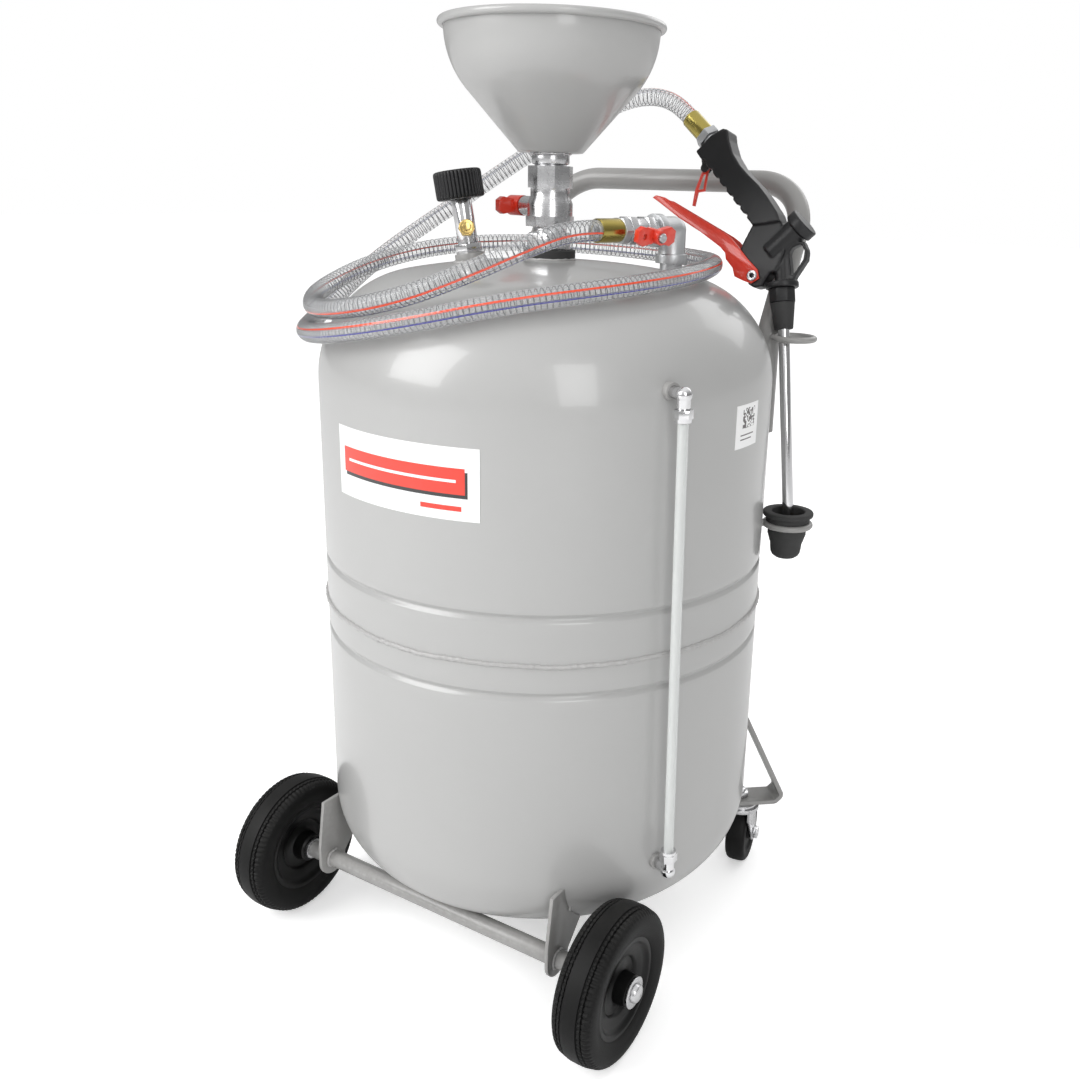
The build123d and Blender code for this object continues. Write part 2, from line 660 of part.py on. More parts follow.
def filler_cap():
    """Black ribbed cap that is screwed down on the neck."""
    cap = rod(filler_point(FILLER_CAP_FOOT), FILLER_LEAN, FILLER_CAP_HEIGHT, FILLER_CAP_RADIUS)
    cap -= rod(filler_point(FILLER_CAP_FOOT - 1), FILLER_LEAN, 13.0, 10.0 + SKIN)
    plane = Plane(origin=filler_point(FILLER_CAP_FOOT - 1), z_dir=FILLER_LEAN)
    groove_count, groove = 36, 1.1
    for number in range(groove_count):
        turn = 2 * pi * number / groove_count
        spot = (FILLER_CAP_RADIUS * cos(turn), FILLER_CAP_RADIUS * sin(turn))
        cap -= plane * Pos(spot[0], spot[1], FILLER_CAP_HEIGHT / 2 - 1) * Cylinder(groove, FILLER_CAP_HEIGHT)
    return cap - rod(filler_point(FILLER_CAP_FOOT + 10), FILLER_LEAN, 9.0, 4.0 + RUN)


def filler_plug():
    """Screwed stem inside the cap, with the sealing plug on its end."""
    stem = rod(filler_point(50), FILLER_LEAN, 31.0, 4.0)
    return stem + rod(filler_point(49), FILLER_LEAN, 7.0, 7.0 - RUN)


def safety_valve_body():
    """Brass safety valve body on the filler's side port."""
    foot = ahead(filler_point(SAFETY_HEIGHT), SAFETY_OUT, 13.2)
    body = prism(foot, SAFETY_OUT, 6.0, 14.0)
    body += rod(ahead(foot, SAFETY_OUT, 6.0), SAFETY_OUT, 13.0, 6.6)
    body -= rod(ahead(foot, SAFETY_OUT, 4.0), SAFETY_OUT, 14.0, 4.6)
    body -= rod(ahead(foot, SAFETY_OUT, -1.0), SAFETY_OUT, 5.5, 2.6)
    return body - rod(ahead(foot, SAFETY_OUT, 17.0), SAFETY_OUT, 3.0, 1.6 + RUN)


def safety_point(along):
    """A point on the safety valve's axis, from its seat outwards."""
    return ahead(filler_point(SAFETY_HEIGHT), SAFETY_OUT, 17.4 + along)


def safety_valve_stem():
    """Valve disc, rod and pull button of the safety valve."""
    stem = rod(safety_point(0), SAFETY_OUT, 2.4, 4.2)
    stem += rod(safety_point(0), SAFETY_OUT, 19.0, 1.6)
    return stem + rod(safety_point(15.4), SAFETY_OUT, 3.6, 4.0)


def spring(start, axis, radius, wire, height, turns):
    """Coil spring along axis."""
    pitch = height / turns
    path = Helix(pitch, height, radius)
    section = Plane(origin=path @ 0, z_dir=path % 0) * Circle(wire)
    return Plane(origin=start, z_dir=axis) * sweep(section, path, is_frenet=True)


def safety_spring():
    """Spring that holds the safety valve shut."""
    return spring(safety_point(2.9), SAFETY_OUT, 3.2, 0.45, 10.4, 5)


# ---- Outlet -----------------------------------------------------------------------------------
OUT = level(OUTLET_ANGLE)
OUTLET_CENTRE = (OUTLET_X, OUTLET_Y, OUTLET_HEIGHT)
MINI_BALL = 6.5
MINI_CENTRE = ahead(OUTLET_CENTRE, OUT, 47.0)
MINI_STEM = level(OUTLET_ANGLE + 90, -9.0)


def outlet_elbow():
    """Malleable iron elbow on the tank's outlet boss, with its nipples."""
    top = OUTLET_FOOT[2] + 13.2
    elbow = rod((OUTLET_X, OUTLET_Y, OUTLET_FOOT[2] + 2), (0, 0, 1), 14.0, 8.0)
    elbow += rod((OUTLET_X, OUTLET_Y, top), (0, 0, 1), OUTLET_HEIGHT - 22 - top, 10.5)
    elbow += rod((OUTLET_X, OUTLET_Y, OUTLET_HEIGHT - 30), (0, 0, 1), 8.5, 15.0)
    elbow += rod((OUTLET_X, OUTLET_Y, OUTLET_HEIGHT - 30), (0, 0, 1), 30.0, 12.7)
    elbow += Pos(*OUTLET_CENTRE) * Sphere(12.7)
    elbow += rod(OUTLET_CENTRE, OUT, 26.0, 12.7)
    elbow += rod(ahead(OUTLET_CENTRE, OUT, 17.5), OUT, 8.5, 15.0)
    elbow += rod(ahead(OUTLET_CENTRE, OUT, 26.0), OUT, 11.0, 9.0)
    elbow -= rod((OUTLET_X, OUTLET_Y, OUTLET_FOOT[2]), (0, 0, 1), OUTLET_HEIGHT - OUTLET_FOOT[2], 5.5)
    return elbow - rod(OUTLET_CENTRE, OUT, 38.0, 5.5)


def outlet_valve_body():
    """Small ball valve with a hexagon at each end."""
    body = prism(ahead(OUTLET_CENTRE, OUT, 32.0), OUT, 8.0, 24.0)
    body += rod(ahead(OUTLET_CENTRE, OUT, 40.0), OUT, 14.0, 11.0)
    body += prism(ahead(OUTLET_CENTRE, OUT, 54.0), OUT, 8.0, 24.0)
    body += rod(MINI_CENTRE, MINI_STEM, 15.0, 5.5)
    body -= rod(ahead(OUTLET_CENTRE, OUT, 31.0), OUT, 6.0, 9.0)
    body -= rod(ahead(MINI_CENTRE, OUT, -7.5), OUT, 15.0, 8.0)
    body -= rod(ahead(OUTLET_CENTRE, OUT, 57.0), OUT, 6.0, TAIL_RADIUS)
    body -= rod(ahead(OUTLET_CENTRE, OUT, 31.0), OUT, 32.0, 4.0)
    return body - rod(MINI_CENTRE, MINI_STEM, 16.0, 2.5 + RUN)


def outlet_valve_ball():
    """Ball and stem of the outlet valve. The valve is open, so the passage lies along the flow."""
    return valve_ball(MINI_CENTRE, OUT, MINI_STEM, MINI_BALL, 4.0, 2.5, 32.0)


def outlet_valve_handle():
    """Red butterfly handle of the outlet valve."""
    hub = ahead(MINI_CENTRE, MINI_STEM, 24.2)
    return butterfly(hub, MINI_STEM, OUT, 23.0, 6.5, 17.5, 2.5)


def valve_seats():
    """The four soft seats of the two ball valves."""
    large = ball_seats((0, 0, BALL_HEIGHT), (0, 0, 1), BALL_RADIUS, BORE, 6.5, 16.9)
    small = ball_seats(MINI_CENTRE, OUT, MINI_BALL, 4.0, 3.2, 7.4)
    return Compound(children=large + small)


def dip_tube():
    """Pipe inside the tank that hangs from the top boss."""
    return tube((0, 0, 640.0), (0, 0, 1), SEAL_BOTTOM - 10.2 - 640.0, 15.0, 12.5)


# ---- Hose -------------------------------------------------------------------------------------
def gun_point(across, along, out=0.0):
    """A point in the gun's own plane, as a point of the tank's frame."""
    return tuple(GUN_PLANE.from_local_coords(Vector(across, along, out)))


def gun_direction(across, along):
    """A direction in the gun's own plane, as a direction of the tank's frame."""
    tip = Vector(*gun_point(across, along)) - Vector(*gun_point(0, 0))
    return tuple(tip.normalized())


INLET = gun_direction(-0.609, 0.793)
INLET_NUT = gun_point(-74.4, 219.6)
INLET_NUT_LENGTH, INLET_FERRULE_LENGTH = 8.5, 27.5
HOSE_START = ahead(OUTLET_CENTRE, OUT, 62.2 + 8.0 + FERRULE_LENGTH)
HOSE_END = ahead(INLET_NUT, INLET, INLET_NUT_LENGTH + INLET_FERRULE_LENGTH)


def hose_radii(points):
    """Bend radius at each inner point: as large as its two runs leave room for."""
    radii = []
    for before, here, after in zip(points, points[1:], points[2:]):
        arriving = Vector(*here) - Vector(*before)
        leaving = Vector(*after) - Vector(*here)
        half_turn = radians(arriving.get_angle(leaving)) / 2
        radii.append(0.45 * min(arriving.length, leaving.length) / tan(half_turn))
    return radii


def hose_points():
    """The hose's route: out of one ferrule, round the dome twice and into the other."""
    first, last = ahead(HOSE_START, OUT, 32.0), ahead(HOSE_END, INLET, 17.0)
    return [HOSE_START, first] + HOSE_ROUTE + [last, HOSE_END]


def hose():
    """Clear braided hose, made of straight runs and tangent arcs."""
    points = hose_points()
    radii = hose_radii(points)
    path = FilletPolyline(*points, radius=radii)
    section = Plane(origin=path @ 0, z_dir=path % 0) * Circle(HOSE_RADIUS)
    body = sweep(section, path)
    print("hose radii", [round(radius) for radius in radii])
    print("hose runs", [round((Vector(*b) - Vector(*a)).length) for a, b in zip(points, points[1:])])
    straight_volume = pi * HOSE_RADIUS**2 * path.length
    print("hose length", round(path.length), "volume ratio", round(body.volume / straight_volume, 4))
    return body


def hose_tails():
    """Hexagon and tail that each end of the hose is pushed on."""
    nut = ahead(OUTLET_CENTRE, OUT, 62.2)
    outlet = prism(nut, OUT, 8.0, 22.0)
    outlet += rod(ahead(nut, OUT, -5.0), OUT, 5.0 + 8.0 + FERRULE_LENGTH - 0.05, TAIL_RADIUS)
    outlet -= rod(ahead(nut, OUT, -6.0), OUT, 42.0, 3.6)
    inlet = prism(INLET_NUT, INLET, INLET_NUT_LENGTH, 24.0)
    inlet += rod(ahead(INLET_NUT, INLET, -3.0), INLET, 3.0, 9.0)
    reach = INLET_NUT_LENGTH + INLET_FERRULE_LENGTH - 0.05
    inlet += rod(ahead(INLET_NUT, INLET, -12.0), INLET, reach + 12.0, TAIL_RADIUS)
    inlet -= rod(ahead(INLET_NUT, INLET, -13.0), INLET, 50.0, 3.6)
    return Compound(children=[outlet, inlet])


def hose_ferrules():
    """Crimped sleeve over each end of the hose."""
    start = ahead(HOSE_START, OUT, -FERRULE_LENGTH)
    outlet = tube(start, OUT, FERRULE_LENGTH, FERRULE_RADIUS, TAIL_RADIUS)
    start = ahead(INLET_NUT, INLET, INLET_NUT_LENGTH)
    inlet = tube(start, INLET, INLET_FERRULE_LENGTH, FERRULE_RADIUS, TAIL_RADIUS)
    return Compound(children=[outlet, inlet])


# ---- Gun --------------------------------------------------------------------------------------
BARREL_ACROSS, BARREL_ALONG = cos(radians(BARREL_TURN)), sin(radians(BARREL_TURN))
BARREL = gun_direction(BARREL_ACROSS, BARREL_ALONG)
LANCE_UP = gun_direction(0, 1)


def on_barrel(along):
    """A point on the valve barrel's axis, from its inner end."""
    return gun_point(BARREL_LINE[0] + along * BARREL_ACROSS, BARREL_LINE[1] + along * BARREL_ALONG)


def slab(outline, half):
    """A flat solid of an outline in the gun's plane, the same depth each side of it."""
    return extrude(GUN_PLANE.offset(-half) * outline, 2 * half)


def body_outline():
    """Side view of the gun's narrow middle, where the lever is hung."""
    return make_face(
        Polyline(
            (-25.4, 119.0), (-36.4, 103.0), (-41.6, 94.1), (-42.0, 90.1), (-40.8, 80.8),
            (-37.3, 66.9), (-34.0, 56.0), (-28.0, 51.5), (-19.3, 51.9), (-8.8, 64.8), (-3.0, 64.8),
            (8.0, 84.0), (6.0, 115.0), (0.0, 131.0), close=True,
        )
    )


def grip_outline():
    """Side view of the grip, with a finger groove under each of its ribs."""
    outline = make_face(
        Polyline(
            (-25.4, 117.3), (-55.7, 161.5), (-71.8, 185.4), (-81.2, 197.7), (-86.7, 206.7),
            (-68.5, 220.1), (-53.9, 225.0), (-48.3, 222.7), (-47.5, 212.1), (-43.9, 197.0),
            (-36.3, 182.6), (-27.1, 170.5), (-16.5, 158.3), (-7.6, 145.1), (3.1, 126.1),
            (6.0, 116.0), close=True,
        )
    )
    groove_count = 7
    start, end = Vector(-33.0, 128.4), Vector(-78.0, 193.0)
    for number in range(groove_count):
        spot = start + (end - start) * (number / (groove_count - 1))
        outline -= Pos(spot.X, spot.Y) * Circle(2.6)
    return outline


def clip_lugs():
    """Two lugs under the grip with the pin that the lock clip hangs on."""
    spot = Pos(*CLIP_PIVOT)
    lugs = spot * Circle(4.6) + make_face(
        Polyline((-84.0, 203.0), (-83.5, 192.0), (-76.0, 188.0), (-72.0, 187.0), (-74.0, 198.0),
                 close=True)
    )
    lugs = slab(lugs, 6.0) - slab(spot * Circle(5.6), 2.0)
    return lugs + slab(spot * Circle(1.5), 6.0)


def gun_body():
    """One moulded body: grip, middle, valve barrel, nozzle barrel, flange and trigger guard."""
    pivot = Pos(*TRIGGER_PIVOT)
    body = slab(grip_outline(), 13.0) + slab(body_outline(), 10.0)
    body += rod(on_barrel(0), BARREL, 36.5, 13.0)
    body += rod(gun_point(1.0, 54.0), LANCE_UP, 40.0, 8.0)
    body += rod(gun_point(0.5, 48.0), LANCE_UP, 6.5, 17.5)
    guard = make_face(
        Polyline((28.0, 93.0), (31.8, 83.1), (30.0, 73.2), (19.6, 60.6), (14.0, 53.5), (3.0, 54.0),
                 (3.0, 92.0), close=True)
    )
    guard -= make_face(
        Polyline((25.0, 90.5), (28.6, 83.1), (26.9, 74.8), (17.2, 62.6), (13.0, 58.5), (11.5, 83.0),
                 (15.0, 88.0), close=True)
    )
    body += slab(guard, 6.0)
    body -= slab(pivot * Circle(4.0), 20.0)
    body -= rod(on_barrel(-60), BARREL, 64.0, 2.5 + RUN)
    body -= rod(on_barrel(2), BARREL, 36.0, 9.0)
    body -= rod(ahead(INLET_NUT, INLET, -60.0), INLET, 61.0, TAIL_RADIUS)
    body += clip_lugs()
    return body - rod(gun_point(1.0, 40.0), LANCE_UP, 30.0, 4.5)


def gun_cap():
    """Screwed cap on the end of the valve barrel."""
    cap = rod(on_barrel(36.7), BARREL, 11.0, 16.85)
    return cap + rod(on_barrel(31.0), BARREL, 6.0, 8.9)


def valve_pin():
    """Valve rod in the barrel: its outer end meets the lever and its disc shuts the air off."""
    pin = rod(on_barrel(-34.0), BARREL, 46.0, 2.5)
    return pin + rod(on_barrel(8.0), BARREL, 4.0, 8.2)


def valve_spring():
    """Spring between the valve disc and the barrel's cap."""
    return spring(on_barrel(13.2), BARREL, 5.8, 0.8, 16.8, 5)


def lever_side():
    """Side view of the trigger lever, round its pivot and along under the grip."""
    blade = make_face(
        Polyline(
            (-142.0, 166.7), (-137.4, 168.5), (-127.0, 164.2), (-81.8, 131.7), (-56.7, 113.2),
            (-49.8, 106.9), (-42.0, 96.5), (-32.0, 82.0), (-22.0, 70.0), (-20.5, 60.0),
            (-30.0, 56.0), (-38.5, 60.0), (-48.4, 66.0), (-50.1, 75.5), (-57.4, 85.8),
            (-57.8, 92.4), (-63.2, 99.7), (-85.3, 119.2), (-111.0, 139.1), (-134.1, 160.0),
            close=True,
        )
    )
    return blade - Pos(*TRIGGER_PIVOT) * Circle(4.0 + RUN)


def trigger():
    """Trigger lever, folded from sheet: two sides past the gun's middle and a web between them."""
    outside, inside, web = 12.4, 10.4, 2.5
    side = lever_side()
    sheets = slab(side, outside) - slab(side, inside)
    under = Polyline(
        (-44.0, 64.6), (-48.4, 67.2), (-50.1, 75.5), (-57.4, 85.8), (-57.8, 92.4), (-63.2, 99.7),
        (-85.3, 119.2), (-111.0, 139.1), (-134.1, 160.0), (-142.0, 166.7),
    )
    band = offset(under, web, side=Side.RIGHT, closed=True)
    lever = sheets + slab(make_face(band), inside + 0.1)
    turns = 5
    for number in range(turns + 1):
        turn = TRIGGER_TRAVEL * number / turns
        centre = Pos(*TRIGGER_PIVOT)
        swept = centre * Rot(0, 0, turn) * centre.inverse() * body_outline()
        lever -= slab(swept, 10.2)
    return max(lever.solids(), key=lambda solid: solid.volume)


def trigger_pin():
    """Hollow pin that the trigger lever turns on."""
    pin = Pos(*TRIGGER_PIVOT) * (Circle(4.0) - Circle(2.4))
    head = Pos(*TRIGGER_PIVOT) * (Circle(5.6) - Circle(2.4))
    return slab(pin, 12.7) + (slab(head, 13.7) - slab(head, 12.7))


def lock_clip():
    """Clip that hangs under the grip and holds the lever in when it is swung over."""
    arms = make_face(
        Polyline((-84.0, 190.0), (-77.6, 188.6), (-83.3, 165.5), (-91.5, 165.8), (-96.2, 151.4),
                 (-99.2, 152.4), (-95.0, 168.5), close=True)
    )
    arms += Pos(*CLIP_PIVOT) * Circle(4.0)
    arms -= make_face(
        Polyline((-84.2, 184.0), (-81.2, 183.4), (-85.0, 168.0), (-91.6, 168.6), close=True)
    )
    arms -= Pos(*CLIP_PIVOT) * Circle(1.6)
    return slab(arms, 1.6)


def nozzle_nut():
    """Nut that clamps the lance to the gun."""
    nut = prism(gun_point(0, 33.2), LANCE_UP, 14.6, 27.0, 8)
    return nut - rod(gun_point(0, 33.0), LANCE_UP, 16.0, LANCE_RADIUS)


def lance_grip():
    """Tapered sleeve that rests in the upper ring."""
    sleeve = turned(
        [(LANCE_RADIUS, 5.0), (10.0, 5.0), (13.0, 33.0), (LANCE_RADIUS, 33.0)], GUN_ORIGIN, LANCE_UP
    )
    return sleeve


def lance_tube():
    """Straight lance pipe, from the gun down to the rubber cup."""
    foot = lance_point(204.5)
    down = tuple(Vector(*foot) - Vector(*GUN_ORIGIN))
    length = Vector(*down).length
    direction = tuple(Vector(*down).normalized())
    top = ahead(GUN_ORIGIN, LANCE_UP, 47.0)
    upper = rod(gun_point(0, -1.0), LANCE_UP, 48.0, LANCE_RADIUS)
    bend = Pos(*GUN_ORIGIN) * Sphere(LANCE_RADIUS)
    pipe = upper + bend + rod(GUN_ORIGIN, direction, length, LANCE_RADIUS)
    return pipe - rod(ahead(top, LANCE_UP, 1.0), tuple(-part for part in LANCE_UP), 60.0, 4.0)


def lance_point(depth):
    """A point on the lance at a depth under the gun's lower end."""
    target = Vector(225.5, 130.8, 441.0)
    start = Vector(*GUN_ORIGIN)
    return tuple(start + (target - start) * (depth / (start.Z - target.Z)))


def lance_tip():
    """Plain nozzle on the end of the lance, inside the cup."""
    foot = lance_point(194.0)
    end = lance_point(204.5)
    direction = tuple((Vector(*end) - Vector(*foot)).normalized())
    return tube(foot, direction, 11.0, 8.2, LANCE_RADIUS)


# ---- All pieces -------------------------------------------------------------------------------
def sided(name, maker):
    """The left and right copies of a piece, the left one at -X."""
    return {name.format("left"): maker(-1), name.format("right"): maker(1)}


def all_parts():
    """Every node of the assembly, by name."""
    parts = {
        "tank_shell": tank_shell(),
        "tank_bosses": tank_bosses(),
        "labels": labels(),
        "axle_brackets": axle_brackets(),
        "axle_tube": axle_tube(),
        "axle_rod": axle_rod(),
        "axle_caps": axle_caps(),
        "caster_straps": caster_straps(),
        "caster_stems": caster_stems(),
        "handle_tube": handle_tube(),
        "holder_rings": holder_rings(),
        "rubber_cup": rubber_cup(),
        "sight_elbows": sight_elbows(),
        "sight_nuts": sight_nuts(),
        "sight_tube": sight_tube(),
        "centre_seal": centre_seal(),
        "valve_adapter": valve_adapter(),
        "funnel_valve_body": funnel_valve_body(),
        "funnel_valve_ball": funnel_valve_ball(),
        "funnel_valve_handle": funnel_valve_handle(),
        "funnel_nipple": funnel_nipple(),
        "funnel": funnel(),
        "filler_neck": filler_neck(),
        "filler_cap": filler_cap(),
        "filler_plug": filler_plug(),
        "safety_valve_body": safety_valve_body(),
        "safety_valve_stem": safety_valve_stem(),
        "safety_spring": safety_spring(),
        "outlet_elbow": outlet_elbow(),
        "outlet_valve_body": outlet_valve_body(),
        "outlet_valve_ball": outlet_valve_ball(),
        "outlet_valve_handle": outlet_valve_handle(),
        "valve_seats": valve_seats(),
        "dip_tube": dip_tube(),
        "hose_tails": hose_tails(),
        "hose_ferrules": hose_ferrules(),
        "hose": hose(),
        "gun_body": gun_body(),
        "gun_cap": gun_cap(),
        "valve_pin": valve_pin(),
        "valve_spring": valve_spring(),
        "trigger": trigger(),
        "trigger_pin": trigger_pin(),
        "lock_clip": lock_clip(),
        "nozzle_nut": nozzle_nut(),
        "lance_grip": lance_grip(),
        "lance_tube": lance_tube(),
        "lance_tip": lance_tip(),
    }
    parts.update(sided("wheel_{}_tyre", wheel_tyre))
    parts.update(sided("wheel_{}_disc", wheel_disc))
    parts.update(sided("caster_{}_fork", caster_fork))
    parts.update(sided("caster_{}_wheel", caster_wheel))
    parts.update(sided("caster_{}_axle", caster_axle))
    return parts


os.makedirs("parts", exist_ok=True)
for part_name, part_shape in all_parts().items():
    export_part(part_name, part_shape)
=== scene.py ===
import json
import logging
import math
from dataclasses import dataclass
from enum import Enum
from typing import Callable, Iterable, Sequence

import bmesh
import bpy
from mathutils import Matrix, Vector


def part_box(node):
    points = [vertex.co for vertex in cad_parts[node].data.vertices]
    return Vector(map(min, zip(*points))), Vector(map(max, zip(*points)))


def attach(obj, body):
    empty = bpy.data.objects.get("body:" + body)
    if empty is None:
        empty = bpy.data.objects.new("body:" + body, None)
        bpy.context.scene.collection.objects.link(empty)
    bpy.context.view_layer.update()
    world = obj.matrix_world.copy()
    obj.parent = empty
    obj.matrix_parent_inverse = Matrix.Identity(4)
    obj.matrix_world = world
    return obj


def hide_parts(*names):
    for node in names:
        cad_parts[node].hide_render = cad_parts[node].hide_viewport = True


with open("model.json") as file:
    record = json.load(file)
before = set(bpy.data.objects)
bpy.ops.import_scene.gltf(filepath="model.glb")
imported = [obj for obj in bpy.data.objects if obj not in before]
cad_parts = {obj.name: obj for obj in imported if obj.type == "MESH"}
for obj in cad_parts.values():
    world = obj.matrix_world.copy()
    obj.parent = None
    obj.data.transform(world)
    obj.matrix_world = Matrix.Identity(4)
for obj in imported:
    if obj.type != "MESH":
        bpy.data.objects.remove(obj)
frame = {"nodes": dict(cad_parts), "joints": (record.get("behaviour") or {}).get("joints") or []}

LOG = logging.getLogger("bead_seater")
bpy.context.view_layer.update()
MM = 0.001

Point = tuple[float, float, float]
Flat = tuple[float, float]
Profile = Sequence[Flat]
Colour = tuple[float, float, float]
Box = tuple[float, float, float, float]
Mesh = bpy.types.Mesh
Node = bpy.types.Node
Socket = bpy.types.NodeSocket
Value = Socket | float | tuple[float, ...]


class Body(Enum):
    """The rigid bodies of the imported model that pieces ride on."""

    TANK = "tank"
    WHEEL_LEFT = "wheel_left"
    WHEEL_RIGHT = "wheel_right"
    SWIVEL_LEFT = "caster_left_swivel"
    SWIVEL_RIGHT = "caster_right_swivel"
    ROLLER_LEFT = "caster_left_roller"
    ROLLER_RIGHT = "caster_right_roller"
    FUNNEL_VALVE = "funnel_valve_core"
    OUTLET_VALVE = "outlet_valve_core"
    FILLER_KNOB = "filler_knob"
    SAFETY_ROD = "safety_valve_pull_rod"
    TRIGGER = "trigger_lever"
    GUN_LOCK = "gun_lock"


class Side(Enum):
    """The two sides of the machine, seen from its front."""

    LEFT = -1
    RIGHT = 1

    @property
    def word(self) -> str:
        """The side's name in node names."""
        return self.name.lower()


# ---- Shader node groups -----------------------------------------------------------------------
class Nodes:
    """A small writer of shader node trees."""

    def __init__(self, tree: bpy.types.NodeTree) -> None:
        """Starts writing in a node tree."""
        self.tree = tree

    @classmethod
    def of(cls, material: bpy.types.Material) -> "Nodes":
        """A writer of a material's own tree."""
        material.use_nodes = True
        return cls(material.node_tree)

    def add(self, kind: str, **values: object) -> Node:
        """Adds one node.

        Args:
            kind: The node's Blender type name, without the ShaderNode prefix.
            values: Attributes of the node to set.

        Returns:
            The new node.
        """
        node = self.tree.nodes.new(f"ShaderNode{kind}")
        for name, value in values.items():
            setattr(node, name, value)
        return node

    def link(self, source: Socket, target: Socket) -> None:
        """Joins an output to an input."""
        self.tree.links.new(source, target)

    def feed(self, value: Value, target: Socket) -> None:
        """Links a socket to an input, or sets the input to a number or a colour.

        Args:
            value: The socket, number or colour.
            target: The input.
        """
        if isinstance(value, Socket):
            self.link(value, target)
        else:
            target.default_value = value

    def math(self, operation: str, first: Value, second: Value = 0.0, clamp: bool = False) -> Socket:
        """Adds a Math node.

        Args:
            operation: The node's operation, such as MULTIPLY.
            first: A socket or a number.
            second: A socket or a number.
            clamp: Whether the result is held between 0 and 1.

        Returns:
            The output socket.
        """
        node = self.add("Math", operation=operation, use_clamp=clamp)
        for socket, value in zip(node.inputs, (first, second)):
            self.feed(value, socket)
        return node.outputs[0]

    def mix_colour(self, factor: Value, first: Value, second: Value) -> Socket:
        """Adds a colour Mix node.

        Args:
            factor: A socket or a number.
            first: A socket or a colour, shown where factor is 0.
            second: A socket or a colour, shown where factor is 1.

        Returns:
            The output socket.
        """
        node = self.add("Mix", data_type="RGBA")
        for number, value in ((0, factor), (6, first), (7, second)):
            self.feed(value, node.inputs[number])
        return node.outputs[2]

    def ranged(
        self, value: Socket, low: float, high: float, to_low: float = 0.0, to_high: float = 1.0
    ) -> Socket:
        """Adds a Map Range node that maps low..high to to_low..to_high.

        Args:
            value: The socket to map.
            low: Lower end of what comes in.
            high: Upper end of what comes in.
            to_low: What low becomes.
            to_high: What high becomes.

        Returns:
            The output socket.
        """
        node = self.add("MapRange")
        self.link(value, node.inputs[0])
        for socket, number in zip(node.inputs[1:5], (low, high, to_low, to_high)):
            socket.default_value = number
        return node.outputs[0]

    def noise(self, scale: float, detail: float = 3.0, coordinates: Socket | None = None) -> Socket:
        """Adds a Noise Texture on the piece's own coordinates.

        Args:
            scale: Size of the pattern; a higher number is finer.
            detail: How many finer layers it has.
            coordinates: A vector socket to use in place of object coordinates.

        Returns:
            The value socket.
        """
        texture = self.add("TexNoise")
        texture.inputs["Scale"].default_value = scale
        texture.inputs["Detail"].default_value = detail
        self.link(coordinates or self.add("TexCoord").outputs["Object"], texture.inputs["Vector"])
        return texture.outputs[0]

    def bump(self, height: Socket, distance: float) -> Node:
        """Adds a Bump node at full strength.

        Args:
            height: The socket that holds the height.
            distance: How far a height of 1 stands out, in metres.

        Returns:
            The node.
        """
        node = self.add("Bump")
        node.inputs["Strength"].default_value = 1.0
        node.inputs["Distance"].default_value = distance
        self.link(height, node.inputs["Height"])
        return node

    def place(self) -> Node:
        """Splits the piece's own UV map, named around, into X and Y."""
        node = self.add("SeparateXYZ")
        self.link(self.add("UVMap", uv_map="around").outputs[0], node.inputs[0])
        return node


@dataclass(frozen=True)
class EffectGroup:
    """A shared surface effect, kept as one shader node group."""

    name: str
    inputs: tuple[tuple[str, float], ...]
    outputs: tuple[str, ...]
    write: Callable[[Nodes, Node, Node], None]

    def tree(self) -> bpy.types.NodeTree:
        """Finds the node group, or writes it the first time it is asked for.

        Returns:
            The group's tree.
        """
        found = bpy.data.node_groups.get(self.name)
        if found:
            return found
        tree = bpy.data.node_groups.new(self.name, "ShaderNodeTree")
        for name, value in self.inputs:
            socket = tree.interface.new_socket(name, in_out="INPUT", socket_type="NodeSocketFloat")
            socket.default_value = value
        for name in self.outputs:
            tree.interface.new_socket(name, in_out="OUTPUT", socket_type="NodeSocketFloat")
        start = tree.nodes.new("NodeGroupInput")
        end = tree.nodes.new("NodeGroupOutput")
        self.write(Nodes(tree), start, end)
        return tree

    def place(self, nodes: Nodes, **values: float) -> Node:
        """Places the group in a material.

        Args:
            nodes: The material's node writer.
            values: The group's inputs, by name with _ for a space.

        Returns:
            The group node.
        """
        node = nodes.tree.nodes.new("ShaderNodeGroup")
        node.node_tree = self.tree()
        for name, value in values.items():
            node.inputs[name.replace("_", " ")].default_value = value
        return node


def write_grain(nodes: Nodes, start: Node, end: Node) -> None:
    """Fine surface grain: a height, and slow clouds for colour and gloss.

    Args:
        nodes: Writer of the group's tree.
        start: The group's input node.
        end: The group's output node.
    """
    coordinates = nodes.add("TexCoord").outputs["Object"]
    fine = nodes.add("TexNoise")
    fine.inputs["Detail"].default_value = 4.0
    nodes.link(coordinates, fine.inputs["Vector"])
    nodes.link(start.outputs["Scale"], fine.inputs["Scale"])
    nodes.link(fine.outputs[0], end.inputs["Height"])
    nodes.link(nodes.noise(9.0, 4.0, coordinates), end.inputs["Clouds"])


def write_wear(nodes: Nodes, start: Node, end: Node) -> None:
    """Wear where an edge stands proud, broken up by noise.

    Args:
        nodes: Writer of the group's tree.
        start: The group's input node.
        end: The group's output node.
    """
    pointed = nodes.add("NewGeometry").outputs["Pointiness"]
    edge = nodes.ranged(pointed, 0.52, 0.60)
    patches = nodes.ranged(nodes.noise(180.0, 5.0), 0.42, 0.62)
    worn = nodes.math("MULTIPLY", edge, patches)
    nodes.link(nodes.math("MULTIPLY", worn, start.outputs["Amount"], True), end.inputs["Mask"])


